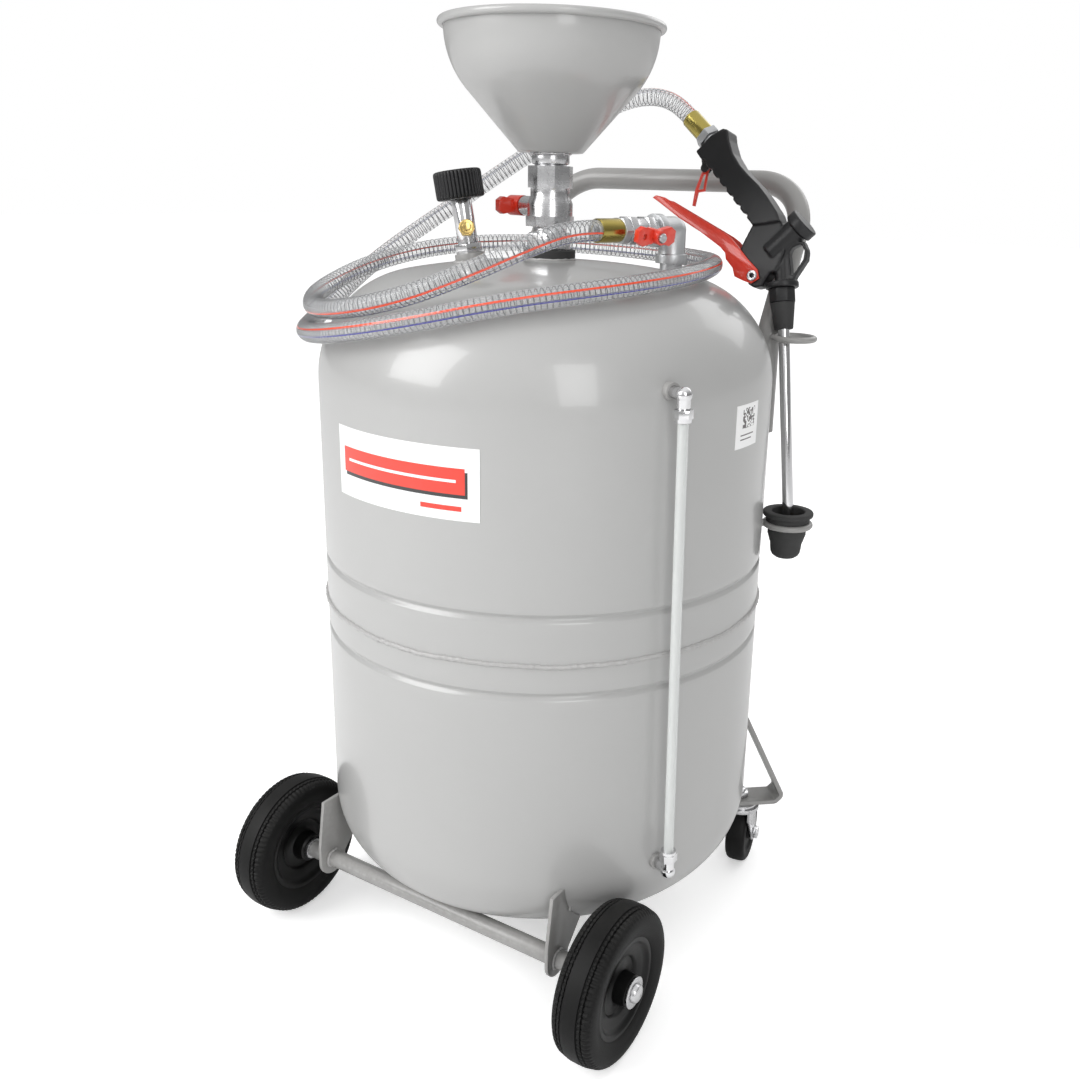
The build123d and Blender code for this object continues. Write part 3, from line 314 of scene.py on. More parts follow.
def write_dust(nodes: Nodes, start: Node, end: Node) -> None:
    """Dust on faces that look up, thicker in patches.

    Args:
        nodes: Writer of the group's tree.
        start: The group's input node.
        end: The group's output node.
    """
    normal = nodes.add("SeparateXYZ")
    nodes.link(nodes.add("NewGeometry").outputs["Normal"], normal.inputs[0])
    upward = nodes.ranged(normal.outputs["Z"], 0.2, 1.0)
    patches = nodes.ranged(nodes.noise(14.0, 6.0), 0.35, 0.7, 0.2, 1.0)
    settled = nodes.math("MULTIPLY", upward, patches)
    nodes.link(nodes.math("MULTIPLY", settled, start.outputs["Amount"], True), end.inputs["Mask"])


def write_brushing(nodes: Nodes, start: Node, end: Node) -> None:
    """Fine machining lines that run round a turned or drawn piece.

    Args:
        nodes: Writer of the group's tree.
        start: The group's input node.
        end: The group's output node.
    """
    mapping = nodes.add("Mapping")
    mapping.inputs["Scale"].default_value = (40.0, 40.0, 900.0)
    nodes.link(nodes.add("TexCoord").outputs["Object"], mapping.inputs["Vector"])
    lines = nodes.noise(1.0, 2.0, mapping.outputs[0])
    nodes.link(lines, end.inputs["Height"])
    soft = nodes.ranged(lines, 0.3, 0.7, -0.5, 0.5)
    nodes.link(nodes.math("MULTIPLY", soft, start.outputs["Amount"]), end.inputs["Roughness"])


GRAIN = EffectGroup("surface_grain", (("Scale", 400.0),), ("Height", "Clouds"), write_grain)
WEAR = EffectGroup("edge_wear", (("Amount", 1.0),), ("Mask",), write_wear)
DUST = EffectGroup("settled_dust", (("Amount", 0.2),), ("Mask",), write_dust)
BRUSHING = EffectGroup("machining_lines", (("Amount", 0.2),), ("Height", "Roughness"), write_brushing)


# ---- Finishes ---------------------------------------------------------------------------------
DUST_COLOUR: Colour = (0.45, 0.44, 0.42)
WORN_ROUGHER, DUSTY_ROUGHER = 0.25, 0.3


def opaque(colour: Colour) -> tuple[float, float, float, float]:
    """The colour with full alpha, as shader sockets hold it."""
    return (*colour, 1.0)


@dataclass(frozen=True)
class Finish:
    """A painted, plated or moulded surface, with its own grain, wear and dust."""

    name: str
    colour: Colour
    shade: Colour
    roughness: float
    slot: str
    gloss_change: float = 0.08
    metallic: float = 0.0
    coat: float = 0.0
    coat_roughness: float = 0.05
    grain: float = 500.0
    depth: float = 0.05
    lines: float = 0.0
    wear: float = 0.0
    worn_colour: Colour = (0.55, 0.55, 0.55)
    dust: float = 0.0
    specular: float = 0.5
    ior: float = 1.5

    def material(self) -> bpy.types.Material:
        """Finds the material, or makes it the first time it is asked for.

        Returns:
            The material.
        """
        found = bpy.data.materials.get(self.name)
        if found:
            return found
        material = bpy.data.materials.new(self.name)
        nodes = Nodes.of(material)
        self.write(nodes, nodes.tree.nodes["Principled BSDF"])
        return material

    def write(self, nodes: Nodes, shader: Node) -> None:
        """Writes the finish's nodes.

        Args:
            nodes: Writer of the material's tree.
            shader: The material's Principled BSDF.
        """
        shader.inputs["IOR"].default_value = self.ior
        shader.inputs["Specular IOR Level"].default_value = self.specular
        shader.inputs["Metallic"].default_value = self.metallic
        shader.inputs["Coat Weight"].default_value = self.coat
        shader.inputs["Coat Roughness"].default_value = self.coat_roughness
        grain = GRAIN.place(nodes, Scale=self.grain)
        colour = nodes.mix_colour(grain.outputs["Clouds"], opaque(self.colour), opaque(self.shade))
        clouds = grain.outputs["Clouds"]
        roughness = nodes.ranged(clouds, 0.0, 1.0, self.roughness, self.roughness + self.gloss_change)
        height = grain.outputs["Height"]
        if self.lines:
            brushing = BRUSHING.place(nodes, Amount=self.lines)
            roughness = nodes.math("ADD", roughness, brushing.outputs["Roughness"], True)
            height = nodes.math("ADD", height, brushing.outputs["Height"])
        for effect, amount, tint, rougher in (
            (WEAR, self.wear, self.worn_colour, WORN_ROUGHER), (DUST, self.dust, DUST_COLOUR, DUSTY_ROUGHER)
        ):
            if amount:
                mask = effect.place(nodes, Amount=amount).outputs["Mask"]
                colour = nodes.mix_colour(mask, colour, opaque(tint))
                roughness = nodes.math("ADD", roughness, nodes.math("MULTIPLY", mask, rougher), True)
        nodes.link(colour, shader.inputs["Base Color"])
        nodes.link(roughness, shader.inputs["Roughness"])
        bump = nodes.bump(height, self.depth * MM)
        nodes.link(bump.outputs[0], shader.inputs["Normal"])


@dataclass(frozen=True)
class ClearFinish(Finish):
    """Clear plastic that shows what is inside, denser towards its edges."""

    face_alpha: float = 0.2
    edge_alpha: float = 0.8

    def edge(self, nodes: Nodes) -> Socket:
        """Alpha that rises where the surface turns away from the eye.

        Args:
            nodes: Writer of the material's tree.

        Returns:
            The alpha's socket.
        """
        facing = nodes.add("LayerWeight")
        facing.inputs["Blend"].default_value = 0.35
        return nodes.ranged(facing.outputs["Facing"], 0.0, 0.9, self.face_alpha, self.edge_alpha)

    def write(self, nodes: Nodes, shader: Node) -> None:
        """Writes the plain finish, then its alpha."""
        super().write(nodes, shader)
        nodes.link(self.edge(nodes), shader.inputs["Alpha"])


@dataclass(frozen=True)
class HoseFinish(ClearFinish):
    """Clear hose wall with a red and a blue stripe, and a wall that stands up between the wires."""

    red_at: float = 0.72
    blue_at: float = 0.60
    stripe_half: float = 0.015
    red: Colour = (0.80, 0.06, 0.015)
    blue: Colour = (0.03, 0.03, 0.25)
    twist: float = 0.12
    pitch: float = 0.0052
    ridge: float = 0.00022

    def stripe(self, nodes: Nodes, around: Socket, middle: float, half: float) -> Socket:
        """A mask that is 1 on a stripe along the hose.

        Args:
            nodes: Writer of the material's tree.
            around: Socket with the place round the hose, 0 to 1.
            middle: Where the stripe is.
            half: Half its width.

        Returns:
            The mask's socket.
        """
        away = nodes.math("ABSOLUTE", nodes.math("SUBTRACT", around, middle))
        return nodes.ranged(away, half, half * 0.8)

    def write(self, nodes: Nodes, shader: Node) -> None:
        """Writes the clear wall, then lays the stripes over it.

        Args:
            nodes: Writer of the material's tree.
            shader: The material's Principled BSDF.
        """
        super().write(nodes, shader)
        place = nodes.place()
        around, along = place.outputs["X"], place.outputs["Y"]
        twisted = nodes.math("SUBTRACT", around, nodes.math("MULTIPLY", along, self.twist))
        red = self.stripe(nodes, twisted, self.red_at, self.stripe_half)
        blue = self.stripe(nodes, twisted, self.blue_at, self.stripe_half * 0.7)
        wall = shader.inputs["Base Color"].links[0].from_socket
        colour = nodes.mix_colour(red, wall, opaque(self.red))
        nodes.link(nodes.mix_colour(blue, colour, opaque(self.blue)), shader.inputs["Base Color"])
        solid = nodes.math("MAXIMUM", red, blue)
        nodes.link(nodes.math("MAXIMUM", self.edge(nodes), solid), shader.inputs["Alpha"])
        turns = nodes.math("ADD", nodes.math("DIVIDE", along, self.pitch), around)
        bump = nodes.bump(nodes.math("SINE", nodes.math("MULTIPLY", turns, 2 * math.pi)), self.ridge)
        nodes.link(shader.inputs["Normal"].links[0].from_socket, bump.inputs["Normal"])
        nodes.link(bump.outputs[0], shader.inputs["Normal"])


@dataclass(frozen=True)
class LabelFinish(Finish):
    """Printed film with a keyline and one coloured band, all of it generic."""

    ink: Colour = (0.02, 0.02, 0.02)
    white: Colour = (0.86, 0.86, 0.86)
    band: Colour = (0.72, 0.04, 0.02)
    shadow_box: Box = (0.075, 0.935, 0.31, 0.67)
    band_box: Box = (0.06, 0.92, 0.36, 0.72)
    line_box: Box = (0.11, 0.87, 0.52, 0.56)
    dash_box: Box = (0.66, 0.90, 0.13, 0.20)

    def bar(self, nodes: Nodes, place: Node, box: Box) -> Socket:
        """A mask of a rectangle on the label.

        Args:
            nodes: Writer of the material's tree.
            place: Separate XYZ node with the label's own coordinates, 0 to 1.
            box: The rectangle's left, right, bottom and top.

        Returns:
            The mask's socket.
        """
        spans = []
        for axis, low, high in (("X", box[0], box[1]), ("Y", box[2], box[3])):
            past = nodes.math("GREATER_THAN", place.outputs[axis], low)
            short = nodes.math("LESS_THAN", place.outputs[axis], high)
            spans.append(nodes.math("MULTIPLY", past, short))
        return nodes.math("MULTIPLY", *spans)

    def write(self, nodes: Nodes, shader: Node) -> None:
        """Writes the film, then its printing.

        Args:
            nodes: Writer of the material's tree.
            shader: The material's Principled BSDF.
        """
        super().write(nodes, shader)
        place = nodes.place()
        colour = shader.inputs["Base Color"].links[0].from_socket
        for box, tint in ((self.shadow_box, self.ink), (self.band_box, self.band),
                          (self.line_box, self.white), (self.dash_box, self.band)):
            colour = nodes.mix_colour(self.bar(nodes, place, box), colour, opaque(tint))
        nodes.link(colour, shader.inputs["Base Color"])


@dataclass(frozen=True)
class BlockLabelFinish(LabelFinish):
    """Small film with a plain block of grey squares and two ruled lines."""

    squares: float = 26.0
    ink: Colour = (0.08, 0.07, 0.07)
    block_box: Box = (0.27, 0.82, 0.45, 0.91)
    upper_box: Box = (0.2, 0.8, 0.28, 0.31)
    lower_box: Box = (0.2, 0.7, 0.18, 0.21)

    def write(self, nodes: Nodes, shader: Node) -> None:
        """Writes the film, then its squares and lines.

        Args:
            nodes: Writer of the material's tree.
            shader: The material's Principled BSDF.
        """
        Finish.write(self, nodes, shader)
        place = nodes.place()
        cells = nodes.add("VectorMath", operation="SCALE")
        nodes.link(place.inputs[0].links[0].from_socket, cells.inputs[0])
        cells.inputs["Scale"].default_value = self.squares
        floor = nodes.add("VectorMath", operation="FLOOR")
        nodes.link(cells.outputs[0], floor.inputs[0])
        random = nodes.add("TexWhiteNoise", noise_dimensions="2D")
        nodes.link(floor.outputs[0], random.inputs["Vector"])
        dark = nodes.math("GREATER_THAN", random.outputs["Value"], 0.5)
        mask = nodes.math("MULTIPLY", dark, self.bar(nodes, place, self.block_box))
        for box in (self.upper_box, self.lower_box):
            mask = nodes.math("MAXIMUM", mask, self.bar(nodes, place, box))
        colour = shader.inputs["Base Color"].links[0].from_socket
        nodes.link(nodes.mix_colour(mask, colour, opaque(self.ink)), shader.inputs["Base Color"])


GREY_PAINT = Finish("grey_gloss_paint", (0.395, 0.395, 0.39), (0.415, 0.415, 0.41), 0.27, "grey_paint",
                    coat=0.4, coat_roughness=0.06, grain=260.0, depth=0.012, gloss_change=0.02)
FRAME_PAINT = Finish("frame_grey_paint", (0.27, 0.266, 0.26), (0.30, 0.296, 0.288), 0.33, "grey_paint",
                     coat=0.25, coat_roughness=0.12, grain=420.0, depth=0.02, wear=0.25, dust=0.06)
WELD_PAINT = Finish("painted_weld", (0.36, 0.355, 0.35), (0.42, 0.415, 0.41), 0.34, "grey_paint",
                    coat=0.3, grain=700.0, depth=0.12, wear=0.35)
CHROME = Finish("bright_plating", (0.78, 0.78, 0.79), (0.70, 0.70, 0.71), 0.09, "chrome",
                metallic=1.0, grain=900.0, depth=0.006, lines=0.06, wear=0.2, worn_colour=(0.5, 0.49, 0.47))
SATIN_NICKEL = Finish("satin_nickel", (0.66, 0.66, 0.67), (0.55, 0.55, 0.56), 0.22, "chrome",
                      metallic=1.0, grain=650.0, depth=0.05, lines=0.05, wear=0.3)
ZINC = Finish("galvanised_iron", (0.62, 0.63, 0.64), (0.48, 0.49, 0.50), 0.34, "zinc",
              metallic=0.9, grain=300.0, depth=0.16, gloss_change=0.18, dust=0.1)
STEEL = Finish("bright_steel", (0.52, 0.52, 0.53), (0.42, 0.42, 0.43), 0.25, "steel",
               metallic=1.0, grain=800.0, depth=0.02, lines=0.12)
BRASS = Finish("turned_brass", (0.72, 0.53, 0.20), (0.60, 0.43, 0.16), 0.2, "brass",
               metallic=1.0, grain=700.0, depth=0.01, lines=0.12, wear=0.2, worn_colour=(0.8, 0.65, 0.35))
YELLOW_ZINC = Finish("yellow_passivated", (0.50, 0.38, 0.10), (0.34, 0.30, 0.09), 0.18, "yellow_zinc",
                     metallic=1.0, grain=120.0, depth=0.01, gloss_change=0.12)
BLACK_MOULDED = Finish("black_moulded", (0.009, 0.009, 0.010), (0.014, 0.014, 0.015), 0.36, "black_plastic",
                       specular=0.4, grain=1500.0, depth=0.06, wear=0.2, worn_colour=(0.05, 0.05, 0.05),
                       dust=0.02)
BLACK_DISC = Finish("black_wheel_centre", (0.0025, 0.0025, 0.0025), (0.004, 0.004, 0.004), 0.3,
                    "black_plastic", specular=0.25, grain=900.0, depth=0.04, wear=0.15,
                    worn_colour=(0.06, 0.06, 0.06))
TYRE_RUBBER = Finish("tyre_rubber", (0.003, 0.003, 0.003), (0.005, 0.005, 0.005), 0.5, "tyre",
                     specular=0.2, grain=1100.0, depth=0.12, wear=0.15, worn_colour=(0.03, 0.03, 0.03),
                     dust=0.03)
BLACK_RUBBER = Finish("black_rubber", (0.007, 0.007, 0.007), (0.012, 0.012, 0.012), 0.45, "black_rubber",
                      specular=0.4, grain=1300.0, depth=0.05, dust=0.02)
RED_COATED = Finish("red_coating", (0.72, 0.035, 0.012), (0.62, 0.028, 0.010), 0.3, "red_plastic",
                    coat=0.5, grain=800.0, depth=0.03, wear=0.25, worn_colour=(0.8, 0.2, 0.15))
CLEAR_TUBE = ClearFinish("clear_level_tube", (0.80, 0.82, 0.81), (0.76, 0.78, 0.77), 0.08, "clear_tube",
                         coat=1.0, grain=300.0, depth=0.01, face_alpha=0.45, edge_alpha=0.95)
CLEAR_HOSE = HoseFinish("clear_hose_wall", (0.70, 0.72, 0.73), (0.76, 0.77, 0.78), 0.14, "clear_hose",
                        coat=0.8, grain=500.0, depth=0.05, face_alpha=0.10, edge_alpha=0.5)
HOSE_WIRE = Finish("hose_spiral_wire", (0.05, 0.05, 0.055), (0.10, 0.10, 0.105), 0.3, "steel",
                   metallic=0.8, grain=900.0, depth=0.01)
FRONT_LABEL = LabelFinish("front_label_film", (0.84, 0.84, 0.84), (0.87, 0.87, 0.87), 0.3, "label",
                          coat=0.5, grain=200.0, depth=0.01)
SIDE_LABEL = BlockLabelFinish("side_label_film", (0.84, 0.84, 0.84), (0.87, 0.87, 0.87), 0.3, "label",
                              coat=0.4, grain=200.0, depth=0.01)


# ---- Mesh tools -------------------------------------------------------------------------------
def tank_axis() -> Vector:
    """The tank's upright axis on the floor, from the shell's own box, in metres."""
    low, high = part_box("tank_shell")
    return Vector(((low.x + high.x) / 2, (low.y + high.y) / 2, 0.0))


AXIS = tank_axis()


def spot(x: float, y: float, z: float) -> Vector:
    """A point of the row frame from millimetres off the tank's axis and the floor."""
    return AXIS + Vector((x, y, z)) * MM


def middle(node: str) -> Vector:
    """The middle of a node's box."""
    low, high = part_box(node)
    return (low + high) / 2


def level(angle: float, rise: float = 0.0) -> Vector:
    """Unit direction at an angle in degrees round the upright, tilted up by rise degrees."""
    turn, lift = math.radians(angle), math.radians(rise)
    return Vector((math.cos(lift) * math.cos(turn), math.cos(lift) * math.sin(turn), math.sin(lift)))


def upright(direction: Vector) -> Matrix:
    """The rotation that takes +Z to a direction."""
    return direction.to_track_quat("Z", "Y").to_matrix().to_4x4()


def arc(centre: Flat, radius: float, start: float, end: float, steps: int) -> list[Flat]:
    """Points of an arc in a profile.

    Args:
        centre: The arc's centre, as (radius, height).
        radius: Its radius.
        start: First angle in degrees, from the outward direction towards up.
        end: Last angle in degrees.
        steps: How many steps it has.

    Returns:
        The points, both ends included.
    """
    points = []
    for number in range(steps + 1):
        turn = math.radians(start + (end - start) * number / steps)
        points.append((centre[0] + radius * math.cos(turn), centre[1] + radius * math.sin(turn)))
    return points


def joint_named(name: str) -> dict:
    """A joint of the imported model."""
    return next(joint for joint in frame["joints"] if joint["name"] == name)


def mirrored(half: list[Flat]) -> list[Flat]:
    """A profile about an axle, from its half on one side of the wheel's middle plane."""
    return half + [(radius, -along) for radius, along in reversed(half)]


def finished(form: bmesh.types.BMesh, name: str, outward: bool = True) -> Mesh:
    """Writes a form to a new mesh and frees it.

    Args:
        form: The form.
        name: The mesh's name.
        outward: Whether its faces are turned outward first.

    Returns:
        The mesh.
    """
    if outward:
        bmesh.ops.recalc_face_normals(form, faces=form.faces)
    mesh = bpy.data.meshes.new(name)
    form.to_mesh(mesh)
    form.free()
    return mesh


def crease(mesh: Mesh, angle: float) -> None:
    """Shades a mesh smooth, with sharp edges where it turns more.

    Args:
        mesh: The mesh.
        angle: Edges that turn more than this many degrees are sharp.
    """
    form = bmesh.new()
    form.from_mesh(mesh)
    for face in form.faces:
        face.smooth = True
    for edge in form.edges:
        if len(edge.link_faces) == 2:
            edge.smooth = edge.calc_face_angle(0.0) < math.radians(angle)
    form.to_mesh(mesh)
    form.free()


def new_piece(
    name: str, mesh: Mesh, finish: Finish, body: Body, nodes: Iterable[str] = (), sharp: float = 35.0
) -> bpy.types.Object:
    """Puts a finished mesh into the scene as a piece.

    Args:
        name: The piece's name.
        mesh: Its mesh, in the row frame.
        finish: What it is made of.
        body: The body it rides on.
        nodes: The CAD nodes that it stands for.
        sharp: Edges that turn more than this many degrees are shaded sharp.

    Returns:
        The new object.
    """
    crease(mesh, sharp)
    piece = bpy.data.objects.new(name, mesh)
    bpy.context.scene.collection.objects.link(piece)
    mesh.materials.clear()
    mesh.materials.append(finish.material())
    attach(piece, body.value)
    if nodes:
        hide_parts(*nodes)
    LOG.info("%s: %d faces on %s", name, len(mesh.polygons), body.value)
    return piece


def lathe(
    name: str, profile: Profile, steps: int = 64, foot: Vector | None = None, axis: Vector | None = None
) -> Mesh:
    """Turns a profile about an axis.

    Args:
        name: The mesh's name.
        profile: (radius, height) corners in millimetres. It is closed by its own ends on the
            axis, or round to its first point where neither end is on the axis.
        steps: Steps round the axis.
        foot: Where height 0 is, in metres. The tank's axis if left out.
        axis: The direction of height. Upright if left out.

    Returns:
        The mesh, in the row frame.
    """
    place = Matrix.Translation(foot if foot is not None else AXIS) @ upright(axis or Vector((0, 0, 1)))
    form = bmesh.new()
    rings = []
    for radius, height in profile:
        if radius < 1e-6:
            rings.append([form.verts.new(place @ Vector((0, 0, height * MM)))])
            continue
        ring = []
        for number in range(steps):
            turn = 2 * math.pi * number / steps
            local = Vector((radius * math.cos(turn), radius * math.sin(turn), height)) * MM
            ring.append(form.verts.new(place @ local))
        rings.append(ring)
    pairs = list(zip(rings, rings[1:]))
    if len(rings[0]) > 1 and len(rings[-1]) > 1:
        pairs.append((rings[-1], rings[0]))
    for low, high in pairs:
        join_rings(form, low, high)
    return finished(form, name)


def join_rings(
    form: bmesh.types.BMesh, low: list[bmesh.types.BMVert], high: list[bmesh.types.BMVert]
) -> None:
    """Joins two rings of points with faces. A ring of one point becomes a fan.

    Args:
        form: The form that holds the points.
        low: One ring.
        high: The other ring.
    """
    steps = max(len(low), len(high))
    for number in range(steps):
        after = (number + 1) % steps
        corners = [low[number % len(low)], low[after % len(low)]]
        corners += [high[after % len(high)], high[number % len(high)]]
        unique = list(dict.fromkeys(corners))
        if len(unique) > 2:
            form.faces.new(unique)


def frames_along(points: Sequence[Vector], closed: bool = False) -> list[tuple[Vector, Vector, Vector]]:
    """Twist-free frames along a line.

    Args:
        points: The line's points.
        closed: Whether the line joins up with its start.

    Returns:
        For each point its place and two directions across the line.
    """
    count = len(points)
    result = []
    across = None
    for number, here in enumerate(points):
        before = points[(number - 1) % count] if closed or number else here
        after = points[(number + 1) % count] if closed or number < count - 1 else here
        ahead = (after - before).normalized()
        if across is None:
            across = Vector((0, 0, 1)) if abs(ahead.z) < 0.9 else Vector((1, 0, 0))
        across = (across - ahead * across.dot(ahead)).normalized()
        result.append((here, across.copy(), ahead.cross(across)))
    return result


def lengths_along(points: Sequence[Vector], closed: bool = False) -> list[float]:
    """The distance travelled at each point of a line.

    Args:
        points: The line's points.
        closed: Whether the way back to its start is counted too.

    Returns:
        The distances, from 0.
    """
    travelled = [0.0]
    for number in range(len(points) - (0 if closed else 1)):
        travelled.append(travelled[-1] + (points[(number + 1) % len(points)] - points[number]).length)
    return travelled


def tube(
    name: str, points: Sequence[Vector], radius: float, sides: int = 20, closed: bool = False,
    wall: float = 0.0, swell: Callable[[int, int], float] | None = None
) -> Mesh:
    """A round tube along a line, with a UV map of turns round it and metres along it.

    Args:
        name: The mesh's name.
        points: The line, in metres.
        radius: Outside radius in millimetres.
        sides: Sides of its section.
        closed: Whether the line joins up with its start.
        wall: Wall thickness in millimetres; 0 makes it solid.
        swell: A change of radius in millimetres, from the numbers along and round it.

    Returns:
        The mesh, in the row frame.
    """
    form = bmesh.new()
    uv = form.loops.layers.uv.new("around")
    frames = frames_along(points, closed)
    layers = [[], []] if wall else [[]]
    for number, (here, first, second) in enumerate(frames):
        for layer, rings in enumerate(layers):
            ring = []
            for side in range(sides):
                turn = 2 * math.pi * side / sides
                size = radius - wall * layer + (swell(number, side) if swell else 0.0)
                out = first * math.cos(turn) + second * math.sin(turn)
                ring.append(form.verts.new(here + out * size * MM))
            rings.append(ring)
    last = len(frames) if closed else len(frames) - 1
    travelled = lengths_along(points, closed)
    for rings in layers:
        for number in range(last):
            low, high = rings[number], rings[(number + 1) % len(frames)]
            for side in range(sides):
                after = (side + 1) % sides
                face = form.faces.new((low[side], low[after], high[after], high[side]))
                corners = ((side, number), (side + 1, number), (side + 1, number + 1), (side, number + 1))
                for loop, (round_part, along) in zip(face.loops, corners):
                    loop[uv].uv = (round_part / sides, travelled[along])
    if not closed:
        for end in (0, -1):
            if wall:
                join_rings(form, layers[0][end], layers[1][end])
            else:
                form.faces.new(layers[0][end])
    return finished(form, name)


def bent(corners: Sequence[Vector], radius: float, steps: int = 14) -> list[Vector]:
    """Rounds the corners of a line of straight runs.

    Args:
        corners: The line's corners, in metres.
        radius: Bend radius at each inner corner, in millimetres.
        steps: Steps in each bend.

    Returns:
        The points of the rounded line.
    """
    points = [corners[0]]
    for before, here, after in zip(corners, corners[1:], corners[2:]):
        arriving, leaving = (here - before).normalized(), (after - here).normalized()
        half = arriving.angle(leaving) / 2
        setback = radius * MM * math.tan(half)
        start = here - arriving * setback
        inward = (leaving - arriving).normalized()
        centre = here + inward * radius * MM / math.cos(half)
        turn_axis = arriving.cross(leaving).normalized()
        for number in range(steps + 1):
            spin = Matrix.Rotation(2 * half * number / steps, 3, turn_axis)
            points.append(centre + spin @ (start - centre))
    points.append(corners[-1])
    return points


def evaluated(piece: bpy.types.Object, name: str) -> Mesh:
    """Applies an object's modifiers, removes it and returns the mesh that they make.

    Args:
        piece: The object, linked for this.
        name: Name of the new mesh.

    Returns:
        The new mesh.
    """
    bpy.context.view_layer.update()
    graph = bpy.context.evaluated_depsgraph_get()
    mesh = bpy.data.meshes.new_from_object(piece.evaluated_get(graph))
    mesh.name = name
    bpy.data.objects.remove(piece)
    return mesh


def node_copy(node: str) -> bpy.types.Object:
    """A loose copy of a CAD node, welded and freed of needless edges.

    Args:
        node: The node.

    Returns:
        The copy, linked to the scene.
    """
    form = bmesh.new()
    form.from_mesh(frame["nodes"][node].data)
    bmesh.ops.remove_doubles(form, verts=form.verts, dist=2e-6)
    bmesh.ops.dissolve_limit(form, angle_limit=math.radians(0.8), verts=form.verts, edges=form.edges)
    piece = bpy.data.objects.new(node + "_copy", finished(form, node + "_copy", outward=False))
    bpy.context.scene.collection.objects.link(piece)
    return piece


def eased(node: str, width: float, segments: int = 2, angle: float = 28.0) -> Mesh:
    """A CAD node's shape with its edges eased, as a real piece has them.

    Args:
        node: The node.
        width: Width of the easing in millimetres.
        segments: Steps across it.
        angle: Edges that turn more than this many degrees are eased.

    Returns:
        The new mesh.
    """
    piece = node_copy(node)
    bevel = piece.modifiers.new("ease", "BEVEL")
    bevel.width = width * MM
    bevel.segments = segments
    bevel.limit_method = "ANGLE"
    bevel.angle_limit = math.radians(angle)
    return evaluated(piece, node + "_eased")


def eased_piece(
    name: str, node: str, width: float, finish: Finish, body: Body = Body.TANK, segments: int = 2
) -> bpy.types.Object:
    """Makes a piece of a CAD node's shape with its edges eased.

    Args:
        name: The piece's name.
        node: The node, which the piece stands for.
        width: Width of the easing in millimetres.
        finish: What it is made of.
        body: The body it rides on.
        segments: Steps across the easing.

    Returns:
        The piece.
    """
    return new_piece(name, eased(node, width, segments), finish, body, [node])


def moulded(node: str, voxel: float, rounds: int) -> Mesh:
    """A CAD node's shape melted into one smooth moulding.

    Args:
        node: The node.
        voxel: Grid size in millimetres.
        rounds: Rounds of smoothing.

    Returns:
        The new mesh.
    """
    piece = node_copy(node)
    remesh = piece.modifiers.new("melt", "REMESH")
    remesh.mode = "VOXEL"
    remesh.voxel_size = voxel * MM
    smooth = piece.modifiers.new("smooth", "SMOOTH")
    smooth.iterations = rounds
    smooth.factor = 0.5
    return evaluated(piece, node + "_moulded")


def ripple(number: int, side: int) -> float:
    """The uneven height of a hand-laid weld bead, in millimetres."""
    slow = 0.35 * math.sin(number * 1.9) + 0.22 * math.sin(number * 0.73 + side * 0.9)
    return slow + 0.12 * math.sin(number * 4.7)


def weld(
    name: str, points: Sequence[Vector], radius: float, closed: bool = False, finish: Finish = WELD_PAINT
) -> bpy.types.Object:
    """Lays a weld bead along a line on the tank's body.

    Args:
        name: The piece's name.
        points: The line, in metres.
        radius: The bead's radius in millimetres.
        closed: Whether the line joins up with its start.
        finish: What it is covered with.

    Returns:
        The piece.
    """
    mesh = tube(name, points, radius, 10, closed, swell=ripple)
    return new_piece(name, mesh, finish, Body.TANK, sharp=60.0)


def ring_line(centre: Vector, axis: Vector, radius: float, steps: int) -> list[Vector]:
    """Points of a circle about an axis.

    Args:
        centre: Its centre, in metres.
        axis: The direction it is turned about.
        radius: Its radius in millimetres.
        steps: How many points it has.

    Returns:
        The points.
    """
    turn = upright(axis)
    line = []
    for number in range(steps):
        angle = 2 * math.pi * number / steps
        line.append(centre + turn @ (Vector((math.cos(angle), math.sin(angle), 0)) * radius * MM))
    return line


def run_line(start: Vector, end: Vector, step: float) -> list[Vector]:
    """Evenly spaced points from start to end, about step millimetres apart."""
    count = max(2, round((end - start).length / (step * MM)))
    return [start.lerp(end, number / count) for number in range(count + 1)]


